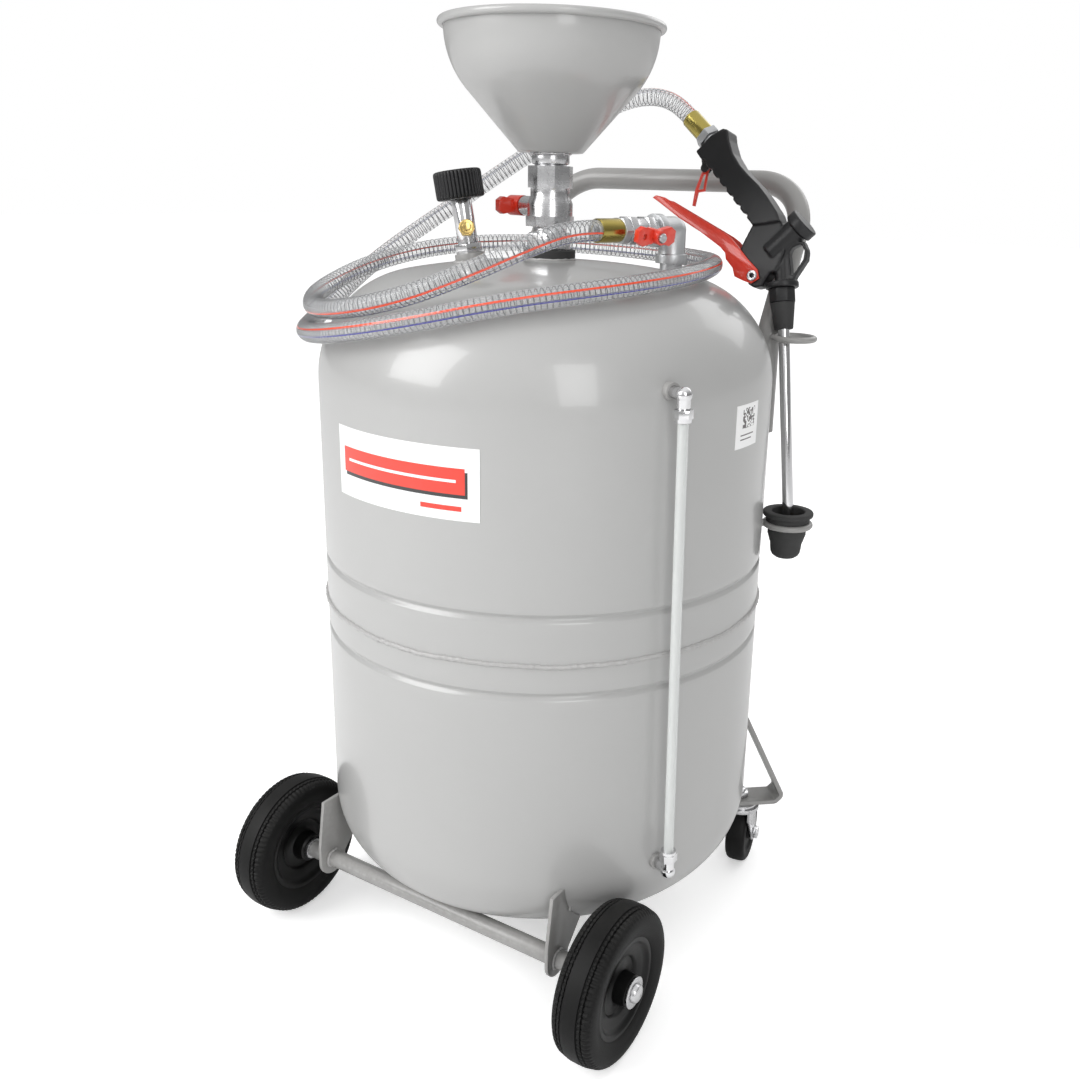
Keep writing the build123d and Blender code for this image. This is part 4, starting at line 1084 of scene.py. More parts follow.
# ---- Tank -------------------------------------------------------------------------------------
@dataclass
class Tank:
    """The air receiver: shell, heads, grooves, middle weld and bosses.

    Each boss is given by its place off the axis and the radius of the weld round it.
    """

    radius: float = 230.0
    shell_low: float = 154.0
    shell_high: float = 602.0
    top_knuckle: float = 105.0
    top_crown: float = 800.0
    low_knuckle: float = 79.0
    low_crown: float = 400.0
    groove_heights: tuple[float, ...] = (347.3, 422.7)
    groove_half: float = 5.0
    groove_depth: float = 3.0
    groove_ease: float = 5.0
    bead_height: float = 378.0
    bosses: tuple[Point, ...] = ((0.0, 0.0, 24.5), (-58.0, -52.0, 15.6), (137.0, 2.0, 13.6))
    steps: int = 224
    seam_steps: int = 720

    def head(self, end: float, knuckle: float, crown: float, up: int) -> list[Flat]:
        """Profile of a dished head, from the axis out to the shell.

        Args:
            end: Height where the shell ends.
            knuckle: Knuckle radius.
            crown: Crown radius.
            up: 1 for the top head, -1 for the bottom one.

        Returns:
            The profile's points.
        """
        offset = self.radius - knuckle
        rise = math.sqrt((crown - knuckle) ** 2 - offset**2)
        lean = math.degrees(math.atan2(offset, rise))
        centre = (0.0, end - up * rise)
        dome = arc(centre, crown, up * 90, up * (90 - lean), 22)
        bend = arc((offset, end), knuckle, up * (90 - lean), 0.0, 26)
        return [(0.0, centre[1] + up * crown)] + dome[1:] + bend[1:]

    def profile(self) -> list[Flat]:
        """The whole outside, from the bottom to the top.

        Returns:
            The profile's points.
        """
        reach = self.groove_half + self.groove_ease
        points = self.head(self.shell_low, self.low_knuckle, self.low_crown, -1)
        for height in self.groove_heights:
            points.append((self.radius, height - reach))
            for number in range(13):
                part = -1 + number / 6
                depth = self.groove_depth * 0.5 * (1 + math.cos(math.pi * part))
                points.append((self.radius - depth, height + part * self.groove_half))
            points.append((self.radius, height + reach))
        return points + self.head(self.shell_high, self.top_knuckle, self.top_crown, 1)[::-1]

    def dome_height(self, radius: float) -> float:
        """Height of the top head over a radius on its crown."""
        rise = math.sqrt((self.top_crown - self.top_knuckle) ** 2 - (self.radius - self.top_knuckle) ** 2)
        return self.shell_high - rise + math.sqrt(self.top_crown**2 - radius**2)

    def build(self) -> None:
        """Builds the shell, its middle weld and its bosses."""
        shell = lathe("tank_outside", self.profile(), self.steps)
        new_piece("tank_outside", shell, GREY_PAINT, Body.TANK, ["tank_shell"])
        self.seam()
        eased_piece("tank_boss_set", "tank_bosses", 0.8, FRAME_PAINT)
        for x, y, radius in self.bosses:
            height = self.dome_height(math.hypot(x, y))
            lean = Vector((x, y, self.top_crown)).normalized()
            line = ring_line(spot(x, y, height + 0.4), lean, radius, 60)
            weld(f"boss_weld_{round(radius)}", line, 1.8, True)

    def seam(self) -> None:
        """The ragged weld bead round the middle of the tank."""
        line = []
        for number in range(self.seam_steps):
            turn = 2 * math.pi * number / self.seam_steps
            height = self.bead_height + 0.5 * math.sin(9 * turn) + 0.3 * math.sin(23 * turn + 1.0)
            line.append(spot(self.radius * math.cos(turn), self.radius * math.sin(turn), height))
        weld("tank_seam", line, 2.3, True)


@dataclass
class Labels:
    """The two printed films on the tank."""

    radius: float = 230.05
    thickness: float = 0.35
    columns: int = 40
    front: Box = (-91.0, 20.9, 509.0, 574.0)
    side: Box = (-2.0, 5.4, 560.0, 601.0)

    def film(self, name: str, place: Box) -> Mesh:
        """One film wrapped round the tank.

        Args:
            name: The mesh's name.
            place: The angle of its middle round the tank, half the angle it covers, and the heights
                of its lower and upper edges.

        Returns:
            The mesh.
        """
        angle, half, low, high = place
        form = bmesh.new()
        uv = form.loops.layers.uv.new("around")
        layers = []
        for radius in (self.radius + self.thickness, self.radius):
            rows = []
            for height in (low, high):
                row = []
                for number in range(self.columns + 1):
                    turn = math.radians(angle - half + 2 * half * number / self.columns)
                    point = spot(radius * math.cos(turn), radius * math.sin(turn), height)
                    row.append(form.verts.new(point))
                rows.append(row)
            layers.append(rows)
        outer, inner = layers
        for number in range(self.columns):
            after = number + 1
            left, right = number / self.columns, after / self.columns
            face = form.faces.new((outer[0][number], outer[0][after], outer[1][after], outer[1][number]))
            for loop, corner in zip(face.loops, ((left, 0), (right, 0), (right, 1), (left, 1))):
                loop[uv].uv = corner
            form.faces.new((inner[1][number], inner[1][after], inner[0][after], inner[0][number]))
            for front, back in zip(outer, inner):
                form.faces.new((front[number], front[after], back[after], back[number]))
        for number in (0, self.columns):
            form.faces.new((outer[0][number], outer[1][number], inner[1][number], inner[0][number]))
        return finished(form, name)

    def build(self) -> None:
        """Builds both films."""
        new_piece("front_label", self.film("front_label", self.front), FRONT_LABEL, Body.TANK, ["labels"])
        new_piece("side_label", self.film("side_label", self.side), SIDE_LABEL, Body.TANK)


# ---- Wheels and casters -----------------------------------------------------------------------
@dataclass
class FrontWheel:
    """One large front wheel: a solid tyre on a moulded centre."""

    side: Side
    radius: float = 75.0
    half_width: float = 21.5
    rim: float = 48.0
    lugs: int = 84
    lug_share: float = 0.62
    lug_depth: float = 1.0
    lug_inside: float = 70.5
    plain_half: float = 9.0

    def section(self) -> list[Flat]:
        """Half of the tyre's section, from the rim to the middle of the tread."""
        side = [(self.rim, 16.8), (49.6, 18.4), (53.0, 19.6), (58.0, 21.0), (62.0, self.half_width)]
        shoulder = [(66.0, 21.2), (69.0, 20.2), (71.2, 18.6), (72.4, 17.0), (73.0, 15.6), (73.3, 13.6)]
        grooves = [(72.2, 13.2), (72.2, 12.2), (73.9, 11.8), (74.3, 9.6), (73.2, 9.2), (73.2, 8.2)]
        return side + shoulder + grooves + [(74.7, 7.8), (self.radius, 5.0)]

    def tyre(self) -> Mesh:
        """The tyre, with cross ribs cut into both shoulders.

        Returns:
            The mesh.
        """
        centre = middle(f"wheel_{self.side.word}_disc")
        mesh = lathe("tyre", mirrored(self.section()), self.lugs * 4, centre, Vector((1, 0, 0)))
        for vertex in mesh.vertices:
            local = vertex.co - centre
            reach = math.hypot(local.y, local.z) / MM
            if reach < self.lug_inside or abs(local.x) / MM < self.plain_half:
                continue
            turn = math.atan2(local.z, local.y) % (2 * math.pi)
            phase = (turn / (2 * math.pi) * self.lugs) % 1.0
            if phase > self.lug_share:
                scale = (reach - self.lug_depth) / reach
                vertex.co = centre + Vector((local.x, local.y * scale, local.z * scale))
        return mesh

    def disc(self) -> Mesh:
        """The stepped wheel centre.

        Returns:
            The mesh.
        """
        hub = [(6.15, 23.2), (6.9, 24.0), (13.8, 24.0), (15.0, 22.8), (15.8, 10.5), (17.6, 8.8), (25.6, 7.4)]
        web = [(27.2, 8.0), (28.4, 10.6), (29.8, 11.8), (38.0, 12.7), (41.0, 13.4), (42.6, 15.0)]
        profile = mirrored(hub + web + [(43.6, 16.6), (45.0, 17.1), (self.rim, 16.9)])
        return lathe("wheel_centre", profile, 96, middle(f"wheel_{self.side.word}_disc"), Vector((1, 0, 0)))

    def build(self) -> None:
        """Builds the tyre and the centre."""
        word = self.side.word
        body = Body.WHEEL_LEFT if self.side is Side.LEFT else Body.WHEEL_RIGHT
        new_piece(f"front_tyre_{word}", self.tyre(), TYRE_RUBBER, body, [f"wheel_{word}_tyre"], 28.0)
        new_piece(f"front_wheel_centre_{word}", self.disc(), BLACK_DISC, body, [f"wheel_{word}_disc"], 40.0)


@dataclass
class FrontAxle:
    """The cross tube, its brackets, the axle and what holds the wheels on it."""

    bracket_x: tuple[float, float] = (-151.0, 145.0)
    plate_half: float = 2.6
    weld_ring: float = 9.2

    def build(self) -> None:
        """Builds the axle's pieces and the welds that hold them."""
        eased_piece("cross_tube", "axle_tube", 0.7, FRAME_PAINT)
        eased_piece("bracket_plates", "axle_brackets", 0.9, FRAME_PAINT)
        eased_piece("axle_bar", "axle_rod", 0.8, STEEL)
        eased_piece("axle_washers", "axle_caps", 0.4, SATIN_NICKEL)
        low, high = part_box("axle_tube")
        line_y, line_z = (low.y + high.y) / 2, (low.z + high.z) / 2
        for number, x in enumerate(self.bracket_x):
            for letter, face in (("a", -self.plate_half), ("b", self.plate_half)):
                centre = Vector((AXIS.x + (x + face) * MM, line_y, line_z))
                line = ring_line(centre, Vector((1, 0, 0)), self.weld_ring, 40)[:27]
                weld(f"bracket_weld_{number}_{letter}", line, 1.5)
            root = [spot(x + 2.4, -168.0 + part * 7, 118.0 + part * 14) for part in range(3)]
            weld(f"bracket_root_{number}", root, 1.6)
        under = [Vector((AXIS.x + x * MM, line_y + 7.0 * MM, line_z + 7.2 * MM)) for x in range(-30, 31, 4)]
        weld("cross_tube_weld", under, 2.0)


@dataclass
class Caster:
    """One swivel caster: fork, wheel and axle bolt."""

    side: Side

    def wheel(self) -> Mesh:
        """The rubber wheel with its rounded tread and dished centre.

        Returns:
            The mesh.
        """
        centre = [(4.2, 11.9), (8.2, 12.2), (9.4, 11.2), (10.2, 9.2), (21.8, 8.2), (23.6, 9.0), (24.8, 10.4)]
        tread = [(30.0, 11.6), (33.2, 11.5), (35.4, 10.2), (36.8, 7.8), (37.4, 4.0)]
        joint = joint_named(f"caster_{self.side.word}_roll")
        hub = middle(f"caster_{self.side.word}_wheel")
        return lathe("caster_wheel", mirrored(centre + tread), 72, hub, Vector(joint["axis"]))

    def build(self) -> None:
        """Builds the caster's three pieces."""
        word = self.side.word
        left = self.side is Side.LEFT
        swivel = Body.SWIVEL_LEFT if left else Body.SWIVEL_RIGHT
        roller = Body.ROLLER_LEFT if left else Body.ROLLER_RIGHT
        eased_piece(f"caster_fork_{word}", f"caster_{word}_fork", 0.6, SATIN_NICKEL, swivel)
        eased_piece(f"caster_bolt_{word}", f"caster_{word}_axle", 0.5, CHROME, swivel)
        new_piece(f"caster_roller_{word}", self.wheel(), TYRE_RUBBER, roller, [f"caster_{word}_wheel"])


@dataclass
class CasterMounts:
    """The two bent straps with their kingpins."""

    angle: float = 40.3
    tank_radius: float = 230.0
    strap_half: float = 16.0
    weld_low: float = 212.0
    weld_high: float = 236.0

    def build(self) -> None:
        """Builds straps, kingpins and the welds along each strap's top."""
        eased_piece("strap_pair", "caster_straps", 0.7, FRAME_PAINT)
        eased_piece("kingpins", "caster_stems", 0.5, SATIN_NICKEL)
        for number, angle in enumerate((self.angle, 180 - self.angle)):
            out, side = level(angle), level(angle + 90)
            for letter, edge in (("a", -1), ("b", 1)):
                start = AXIS + out * (self.tank_radius + 1) * MM + side * edge * self.strap_half * MM
                low = start + Vector((0, 0, self.weld_low * MM))
                high = start + Vector((0, 0, self.weld_high * MM))
                weld(f"strap_weld_{number}_{letter}", run_line(low, high, 2.4), 1.7)


# ---- Handle and gun holder --------------------------------------------------------------------
@dataclass
class Handle:
    """The bent tube handle and the welds down its two legs."""

    tube_radius: float = 12.5
    bend: float = 60.0
    knee: float = 641.0
    lean: float = 30.05
    weld_turn: float = 58.0
    weld_spans: tuple[Flat, ...] = ((541.0, 566.0), (606.0, 628.0))

    def build(self) -> None:
        """Builds the tube from the CAD node's own box."""
        low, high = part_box("handle_tube")
        inset = self.tube_radius * MM
        left, right = low.x + inset, high.x - inset
        top, back, foot = high.z - inset, high.y - inset, low.z
        leg_y = back - math.tan(math.radians(self.lean)) * (top - self.knee * MM)
        leg = [(leg_y, foot), (leg_y, self.knee * MM), (back, top)]
        corners = [Vector((left, y, z)) for y, z in leg] + [Vector((right, y, z)) for y, z in reversed(leg)]
        mesh = tube("handle_bar", bent(corners, self.bend, 20), self.tube_radius, 36)
        new_piece("handle_bar", mesh, FRAME_PAINT, Body.TANK, ["handle_tube"])
        for name, x, sign in (("left", left, -1), ("right", right, 1)):
            for face, turn in (("outer", self.weld_turn), ("inner", -self.weld_turn)):
                radial = Vector((x - AXIS.x, leg_y - AXIS.y, 0)).normalized()
                way = Matrix.Rotation(math.radians(180 + sign * turn), 3, "Z") @ radial
                base = Vector((x, leg_y, 0)) + way * (self.tube_radius + 0.6) * MM
                for part, (bottom, upper) in enumerate(self.weld_spans):
                    start = base + Vector((0, 0, bottom * MM))
                    line = run_line(start, base + Vector((0, 0, upper * MM)), 2.2)
                    weld(f"leg_weld_{name}_{face}_{part}", line, 1.9)


@dataclass
class GunHolder:
    """Two wire rings and the rubber cup that hold the gun's lance."""

    wire: float = 3.25
    upper_centre: Point = (201.5, 165.0, 641.5)
    upper_radius: float = 21.3
    lower_centre: Point = (223.8, 130.3, 449.0)
    lower_radius: float = 23.8
    leg_place: Flat = (167.5, 175.4)
    tank_radius: float = 230.0
    cup_top: float = 52.5

    def ring(self, name: str, centre: Point, radius: float, nodes: Iterable[str] = ()) -> None:
        """One ring of bent wire.

        Args:
            name: The piece's name.
            centre: Its centre, in millimetres off the tank's axis.
            radius: Its radius to the middle of the wire.
            nodes: The CAD nodes that it stands for.
        """
        line = ring_line(spot(*centre), Vector((0, 0, 1)), radius, 72)
        new_piece(name, tube(name, line, self.wire, 16, True), FRAME_PAINT, Body.TANK, nodes)

    def build(self) -> None:
        """Builds the rings, their welds and the cup."""
        self.ring("upper_ring", self.upper_centre, self.upper_radius, ["holder_rings"])
        self.ring("lower_ring", self.lower_centre, self.lower_radius)
        x, y, z = self.lower_centre
        angle = math.degrees(math.atan2(y, x))
        out = level(angle)
        start = AXIS + out * (self.tank_radius - 0.5) * MM + Vector((0, 0, z * MM))
        end = AXIS + out * (math.hypot(x, y) - self.lower_radius) * MM + Vector((0, 0, z * MM))
        weld("lower_ring_weld", [start, start.lerp(end, 0.5), end], 4.0)
        x, y, z = self.upper_centre
        toward = (Vector((*self.leg_place, z)) - Vector((x, y, z))).normalized()
        joint = Vector((x, y, z)) + toward * self.upper_radius
        weld("upper_ring_weld", [spot(*(joint + Vector((0, 0, lift)))) for lift in (-3.0, 0.0, 3.0)], 3.6)
        self.cup()

    def cup(self) -> None:
        """The rubber cup, its collar resting on the lower ring."""
        low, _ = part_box("rubber_cup")
        base = low.z / MM
        seat = self.lower_centre[2] + self.wire + 0.05 - base
        top = self.cup_top
        outside = [(0, 0.0), (6.0, 0.3), (11.0, 1.4), (14.2, 3.8), (15.8, 7.0), (16.4, 11.0), (16.9, 17.0)]
        shoulder = [(17.6, 18.4), (20.0, 26.2), (20.4, 27.0), (20.4, seat), (23.3, seat), (23.3, top - 6.0)]
        lip = [(24.2, top - 5.4), (26.2, top - 5.0), (26.9, top - 3.9), (26.9, top - 1.4), (26.1, top - 0.3)]
        inside = [(25.0, top), (18.6, top), (17.6, top - 1.0), (16.2, top - 26.0), (13.2, top - 39.0)]
        profile = outside + shoulder + lip + inside + [(9.0, 7.4), (0, 5.6)]
        foot = spot(self.lower_centre[0], self.lower_centre[1], base)
        mesh = lathe("rubber_cup_soft", profile, 72, foot)
        new_piece("rubber_cup_soft", mesh, BLACK_RUBBER, Body.TANK, ["rubber_cup"])


# ---- Sight gauge ------------------------------------------------------------------------------
@dataclass
class SightGauge:
    """Elbows, nuts and the clear level tube."""

    inner_radius: float = 3.1
    outer_radius: float = 4.75
    reach: float = 250.0
    low_end: Flat = (-26.8, 159.3)
    high_end: Flat = (-28.7, 623.6)
    inset: float = 12.4

    def build(self) -> None:
        """Builds the gauge between its two elbows, each end given by its angle and height."""
        eased_piece("gauge_elbows", "sight_elbows", 0.5, CHROME)
        eased_piece("gauge_nuts", "sight_nuts", 0.5, CHROME)
        low, high = (
            AXIS + level(angle) * self.reach * MM + Vector((0, 0, height * MM))
            for angle, height in (self.low_end, self.high_end)
        )
        inset = (high - low).normalized() * self.inset * MM
        wall = self.outer_radius - self.inner_radius
        mesh = tube("level_tube", run_line(low + inset, high - inset, 40.0), self.outer_radius, 28, wall=wall)
        new_piece("level_tube", mesh, CLEAR_TUBE, Body.TANK, ["sight_tube"], 60.0)


# ---- Funnel and its valve ---------------------------------------------------------------------
@dataclass
class FunnelStack:
    """Everything that stands on the tank's top boss: seal, adapter, ball valve and funnel."""

    floor_radius: float = 32.25
    floor_height: float = 819.5
    wall_radius: float = 103.0
    rim_height: float = 934.0
    curve: float = 85.0
    half_angle: float = 43.05
    sheet: float = 1.6
    bead: float = 3.7
    hole: float = 16.0
    nut_seat: float = 9.2

    def bowl(self) -> Mesh:
        """The spun funnel, with its rolled rim.

        Returns:
            The mesh.
        """
        lean = math.radians(self.half_angle)
        setback = self.curve * math.tan(lean / 2)
        corner = self.rim_height - 2 - setback
        end_x = self.wall_radius - setback * math.sin(lean)
        end_z = corner - setback * math.cos(lean)
        foot = self.floor_height
        outer = [(self.hole, foot), (29.0, foot), (31.4, foot + 0.3), (self.floor_radius + 0.6, foot + 1.6),
                 (end_x, end_z)]
        centre = (self.wall_radius - self.curve, corner + setback)
        outer += arc(centre, self.curve, -self.half_angle, 0.0, 18)[1:]
        outer.append((self.wall_radius + 0.1, self.rim_height - 1.2))
        rim = arc((self.wall_radius + 2, self.rim_height), self.bead, -150.0, 175.0, 22)
        inner = [(radius - self.sheet, height + 0.5) for radius, height in reversed(outer[3:])]
        inner += [(28.0, foot + self.sheet), (self.hole, foot + self.sheet)]
        return lathe("funnel_bowl", outer + rim + inner, 160)

    def build(self) -> None:
        """Builds the stack from the tank upwards."""
        seal = [(16.5, 719.5), (25.2, 719.5), (26.0, 720.3), (26.0, 727.0), (25.0, 728.0), (16.5, 728.0)]
        new_piece("top_seal", lathe("top_seal", seal, 72), BLACK_RUBBER, Body.TANK, ["centre_seal"])
        eased_piece("hex_adapter", "valve_adapter", 0.9, SATIN_NICKEL)
        eased_piece("funnel_ball_valve", "funnel_valve_body", 1.0, SATIN_NICKEL, segments=3)
        eased_piece("funnel_collar", "funnel_nipple", 1.2, SATIN_NICKEL)
        new_piece("funnel_bowl", self.bowl(), GREY_PAINT, Body.TANK, ["funnel"], 50.0)
        line = ring_line(spot(0, 0, self.floor_height - 0.6), Vector((0, 0, 1)), 18.8, 60)
        weld("funnel_foot_weld", line, 1.5, True, SATIN_NICKEL)
        eased_piece("funnel_valve_wings", "funnel_valve_handle", 1.2, RED_COATED, Body.FUNNEL_VALVE, 3)
        joint = joint_named("funnel_valve_turn")
        out = Vector(joint["axis"])
        nut_foot = Vector(joint["pos_m"]) + out * self.nut_seat * MM
        flange = [(0, 0), (6.6, 0), (7.0, 0.5), (7.0, 4.0), (6.2, 4.8)]
        stud = [(3.2, 4.8), (3.2, 7.0), (2.6, 7.6), (0, 7.6)]
        nut = lathe("funnel_valve_nut", flange + stud, 48, nut_foot, out)
        new_piece("funnel_valve_nut", nut, STEEL, Body.FUNNEL_VALVE)


# ---- Filler and safety valve ------------------------------------------------------------------
@dataclass
class Filler:
    """Leaning filler neck with its ribbed cap and the brass safety valve on its side."""

    cap_radius: float = 23.5
    cap_height: float = 27.0
    ribs: int = 38
    hollow: float = 11.0
    rib_depth: float = 1.5

    def axis(self) -> Vector:
        """Direction of the filler's neck."""
        return Vector(joint_named("filler_turn")["axis"]).normalized()

    def cap_foot(self) -> Vector:
        """Middle of the cap's lower face."""
        return middle("filler_cap") - self.axis() * self.cap_height / 2 * MM

    def cap(self) -> Mesh:
        """The cap: rounded ribs round its side, crowned edges and a hollow below.

        Returns:
            The mesh.
        """
        steps = self.ribs * 8
        place = Matrix.Translation(self.cap_foot()) @ upright(self.axis())
        form = bmesh.new()
        top, widest = self.cap_height, self.cap_radius
        below = [(10.4, self.hollow, 0.0), (10.4, 0.6, 0.0), (12.0, 0.0, 0.0), (21.0, 0.0, 0.1),
                 (22.6, 0.5, 0.6)]
        ribbed = [(23.4, 1.8, 1.0), (widest, 4.0, 1.0), (widest, top - 4.0, 1.0), (23.3, top - 2.2, 1.0)]
        crown = [(22.6, top - 0.9, 0.7), (21.2, top - 0.2, 0.2), (19.8, top, 0.0), (18.6, top - 0.5, 0.0)]
        side = below + ribbed + crown + [(0, top - 0.6, 0.0)]
        rings = [[form.verts.new(place @ Vector((0, 0, self.hollow * MM)))]]
        for radius, rise, rib in side:
            if radius == 0:
                rings.append([form.verts.new(place @ Vector((0, 0, rise * MM)))])
                continue
            ring = []
            for number in range(steps):
                turn = 2 * math.pi * number / steps
                wave = abs(math.sin(turn * self.ribs / 2))
                reach = radius - rib * self.rib_depth * (1 - wave**0.6)
                local = Vector((reach * math.cos(turn), reach * math.sin(turn), rise)) * MM
                ring.append(form.verts.new(place @ local))
            rings.append(ring)
        for low, high in zip(rings, rings[1:]):
            join_rings(form, low, high)
        return finished(form, "filler_cap_ribbed")

    def safety(self) -> None:
        """The safety valve: hexagon, stepped body and pull button."""
        out = Vector(joint_named("safety_valve_pull")["axis"]).normalized()
        eased_piece("safety_hex", "safety_valve_body", 0.5, BRASS)
        tip = middle("safety_valve_body") + out * 9.4 * MM
        band = [(5.2, -5.0), (7.3, -5.0), (7.6, -4.4), (7.6, -2.2), (7.0, -1.6), (5.2, -1.6)]
        new_piece("safety_band", lathe("safety_band", band, 48, tip, out), BRASS, Body.TANK)
        eased_piece("safety_button", "safety_valve_stem", 0.5, BRASS, Body.SAFETY_ROD)

    def build(self) -> None:
        """Builds neck, cap and safety valve."""
        eased_piece("filler_neck_plated", "filler_neck", 0.6, CHROME)
        new_piece("filler_cap_ribbed", self.cap(), BLACK_MOULDED, Body.FILLER_KNOB, ["filler_cap"], 50.0)
        self.safety()


# ---- Outlet -----------------------------------------------------------------------------------
@dataclass
class Outlet:
    """Elbow and small ball valve that feed the hose."""

    screw_seat: float = 8.8

    def build(self) -> None:
        """Builds the elbow, the valve and its red handle."""
        eased_piece("outlet_elbow_iron", "outlet_elbow", 1.3, ZINC, segments=3)
        eased_piece("outlet_ball_valve", "outlet_valve_body", 0.7, SATIN_NICKEL)
        eased_piece("outlet_valve_wings", "outlet_valve_handle", 1.1, RED_COATED, Body.OUTLET_VALVE, 3)
        joint = joint_named("outlet_valve_turn")
        out = Vector(joint["axis"])
        foot = Vector(joint["pos_m"]) + out * self.screw_seat * MM
        profile = [(0, 0), (4.4, 0), (4.4, 1.6), (3.6, 2.6), (1.6, 2.9), (0, 2.2)]
        screw = lathe("outlet_valve_screw", profile, 32, foot, out)
        new_piece("outlet_valve_screw", screw, STEEL, Body.OUTLET_VALVE)


# ---- Hose -------------------------------------------------------------------------------------
@dataclass
class Hose:
    """Clear hose with a steel spiral in its wall, and what is crimped on its ends."""

    radius: float = 9.5
    wall: float = 2.4
    wire: float = 0.38
    pitch: float = 5.2
    length: float = 2.22
    steps_in_turn: int = 14
    route: tuple[Point, ...] = (
        (0.1105, -0.0905, 0.752), (0.1017, -0.1212, 0.752), (0.084, -0.158, 0.739), (0.05, -0.19, 0.718),
        (-0.008, -0.212, 0.693), (-0.082, -0.214, 0.677), (-0.156, -0.176, 0.671), (-0.211, -0.112, 0.68),
        (-0.211, -0.03, 0.705), (-0.18, 0.048, 0.722), (-0.122, 0.12, 0.727), (-0.045, 0.168, 0.724),
        (0.042, 0.172, 0.72), (0.112, 0.134, 0.718), (0.155, 0.064, 0.718), (0.171, -0.03, 0.713),
        (0.148, -0.118, 0.706), (0.084, -0.19, 0.694), (0.002, -0.229, 0.673), (-0.084, -0.226, 0.657),
        (-0.166, -0.178, 0.647), (-0.22, -0.108, 0.65), (-0.24, -0.03, 0.684), (-0.236, 0.036, 0.72),
        (-0.204, 0.092, 0.76), (-0.144, 0.146, 0.816), (-0.082, 0.187, 0.8625), (-0.036, 0.2075, 0.885),
        (-0.008, 0.2106, 0.8886), (0.015, 0.209, 0.885), (0.0339, 0.2071, 0.8757), (0.0468, 0.205, 0.8648),
    )

    def line(self) -> list[Vector]:
        """The hose's centre line, read from a NURBS spline along its route.

        Returns:
            The line's points.
        """
        curve = bpy.data.curves.new("hose_route", "CURVE")
        curve.dimensions = "3D"
        spline = curve.splines.new("NURBS")
        spline.points.add(len(self.route) - 1)
        for point, (x, y, z) in zip(spline.points, self.route):
            point.co = (x + AXIS.x, y + AXIS.y, z, 1.0)
        spline.order_u = 3
        spline.use_endpoint_u = True
        spline.resolution_u = 20
        holder = bpy.data.objects.new("hose_route", curve)
        bpy.context.scene.collection.objects.link(holder)
        bpy.context.view_layer.update()
        mesh = bpy.data.meshes.new_from_object(holder)
        points = [vertex.co.copy() for vertex in mesh.vertices]
        bpy.data.objects.remove(holder)
        bpy.data.meshes.remove(mesh)
        return points

    def spiral(self, points: list[Vector]) -> Mesh:
        """The steel spiral inside the wall.

        Args:
            points: The hose's centre line.

        Returns:
            The mesh.
        """
        frames = frames_along(points)
        travelled = lengths_along(points)
        step = self.pitch * MM / self.steps_in_turn
        reach = (self.radius - self.wall / 4) * MM
        helix = []
        part = 0
        for number in range(int(travelled[-1] / step)):
            along = number * step
            while travelled[part + 1] < along:
                part += 1
            share = (along - travelled[part]) / (travelled[part + 1] - travelled[part])
            pairs = zip(frames[part], frames[part + 1])
            centre, first, second = (now.lerp(after, share) for now, after in pairs)
            turn = 2 * math.pi * number / self.steps_in_turn
            across = first * math.cos(turn) + second * math.sin(turn)
            helix.append(centre + across.normalized() * reach)
        return tube("hose_spiral", helix, self.wire, 5)

    def ferrule(self, name: str, start: Vector, way: Vector, length: float) -> bpy.types.Object:
        """A plain sleeve with a rolled lip at its hose end.

        Args:
            name: The piece's name.
            start: Middle of its nut end.
            way: Its direction, towards the hose.
            length: Its length in millimetres.

        Returns:
            The piece.
        """
        sleeve = [(6.1, 0.0), (10.0, 0.0), (10.5, 0.5), (10.6, 1.5), (10.6, length - 2.6)]
        lip = [(10.4, length - 1.6), (10.6, length - 0.8), (10.4, length - 0.1), (9.9, length),
               (9.6, length - 1.5), (6.1, length - 1.6)]
        return new_piece(name, lathe(name, sleeve + lip, 56, start, way), YELLOW_ZINC, Body.TANK)

    def build(self) -> None:
        points = self.line()
        wall = tube("hose_wall", points, self.radius, 26, wall=self.wall)
        piece = new_piece("hose_wall", wall, CLEAR_HOSE, Body.TANK, ["hose"], 60.0)
        spiral = new_piece("hose_spiral", self.spiral(points), HOSE_WIRE, Body.TANK, sharp=80.0)
        eased_piece("hose_nuts", "hose_tails", 0.7, ZINC)
        out, inlet = (points[1] - points[0]).normalized(), (points[-2] - points[-1]).normalized()
        first = self.ferrule("outlet_ferrule", points[0] - out * 0.026, out, 26.0)
        second = self.ferrule("gun_ferrule", points[-1] - inlet * 0.0275, inlet, 27.5)
        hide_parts("hose_ferrules")


# ---- Gun --------------------------------------------------------------------------------------
@dataclass
class Gun:
    """The blow gun: moulded body, lever, lance and their small pieces."""

    def build(self) -> None:
        """Builds the gun's pieces."""
        new_piece("gun_moulding", moulded("gun_body", 1.0, 9), BLACK_MOULDED, Body.TANK, ["gun_body"], 60.0)
        eased_piece("barrel_cap", "gun_cap", 1.4, BLACK_MOULDED, segments=3)
        eased_piece("lever", "trigger", 0.5, RED_COATED, Body.TRIGGER)
        eased_piece("lever_pin", "trigger_pin", 0.3, STEEL)
        eased_piece("lock_clip_red", "lock_clip", 0.5, RED_COATED, Body.GUN_LOCK)
        eased_piece("lance_nut", "nozzle_nut", 0.9, BLACK_MOULDED)
        eased_piece("lance_sleeve", "lance_grip", 0.8, BLACK_RUBBER)
        eased_piece("lance_pipe", "lance_tube", 0.4, CHROME)
        eased_piece("lance_nozzle", "lance_tip", 0.5, BRASS)


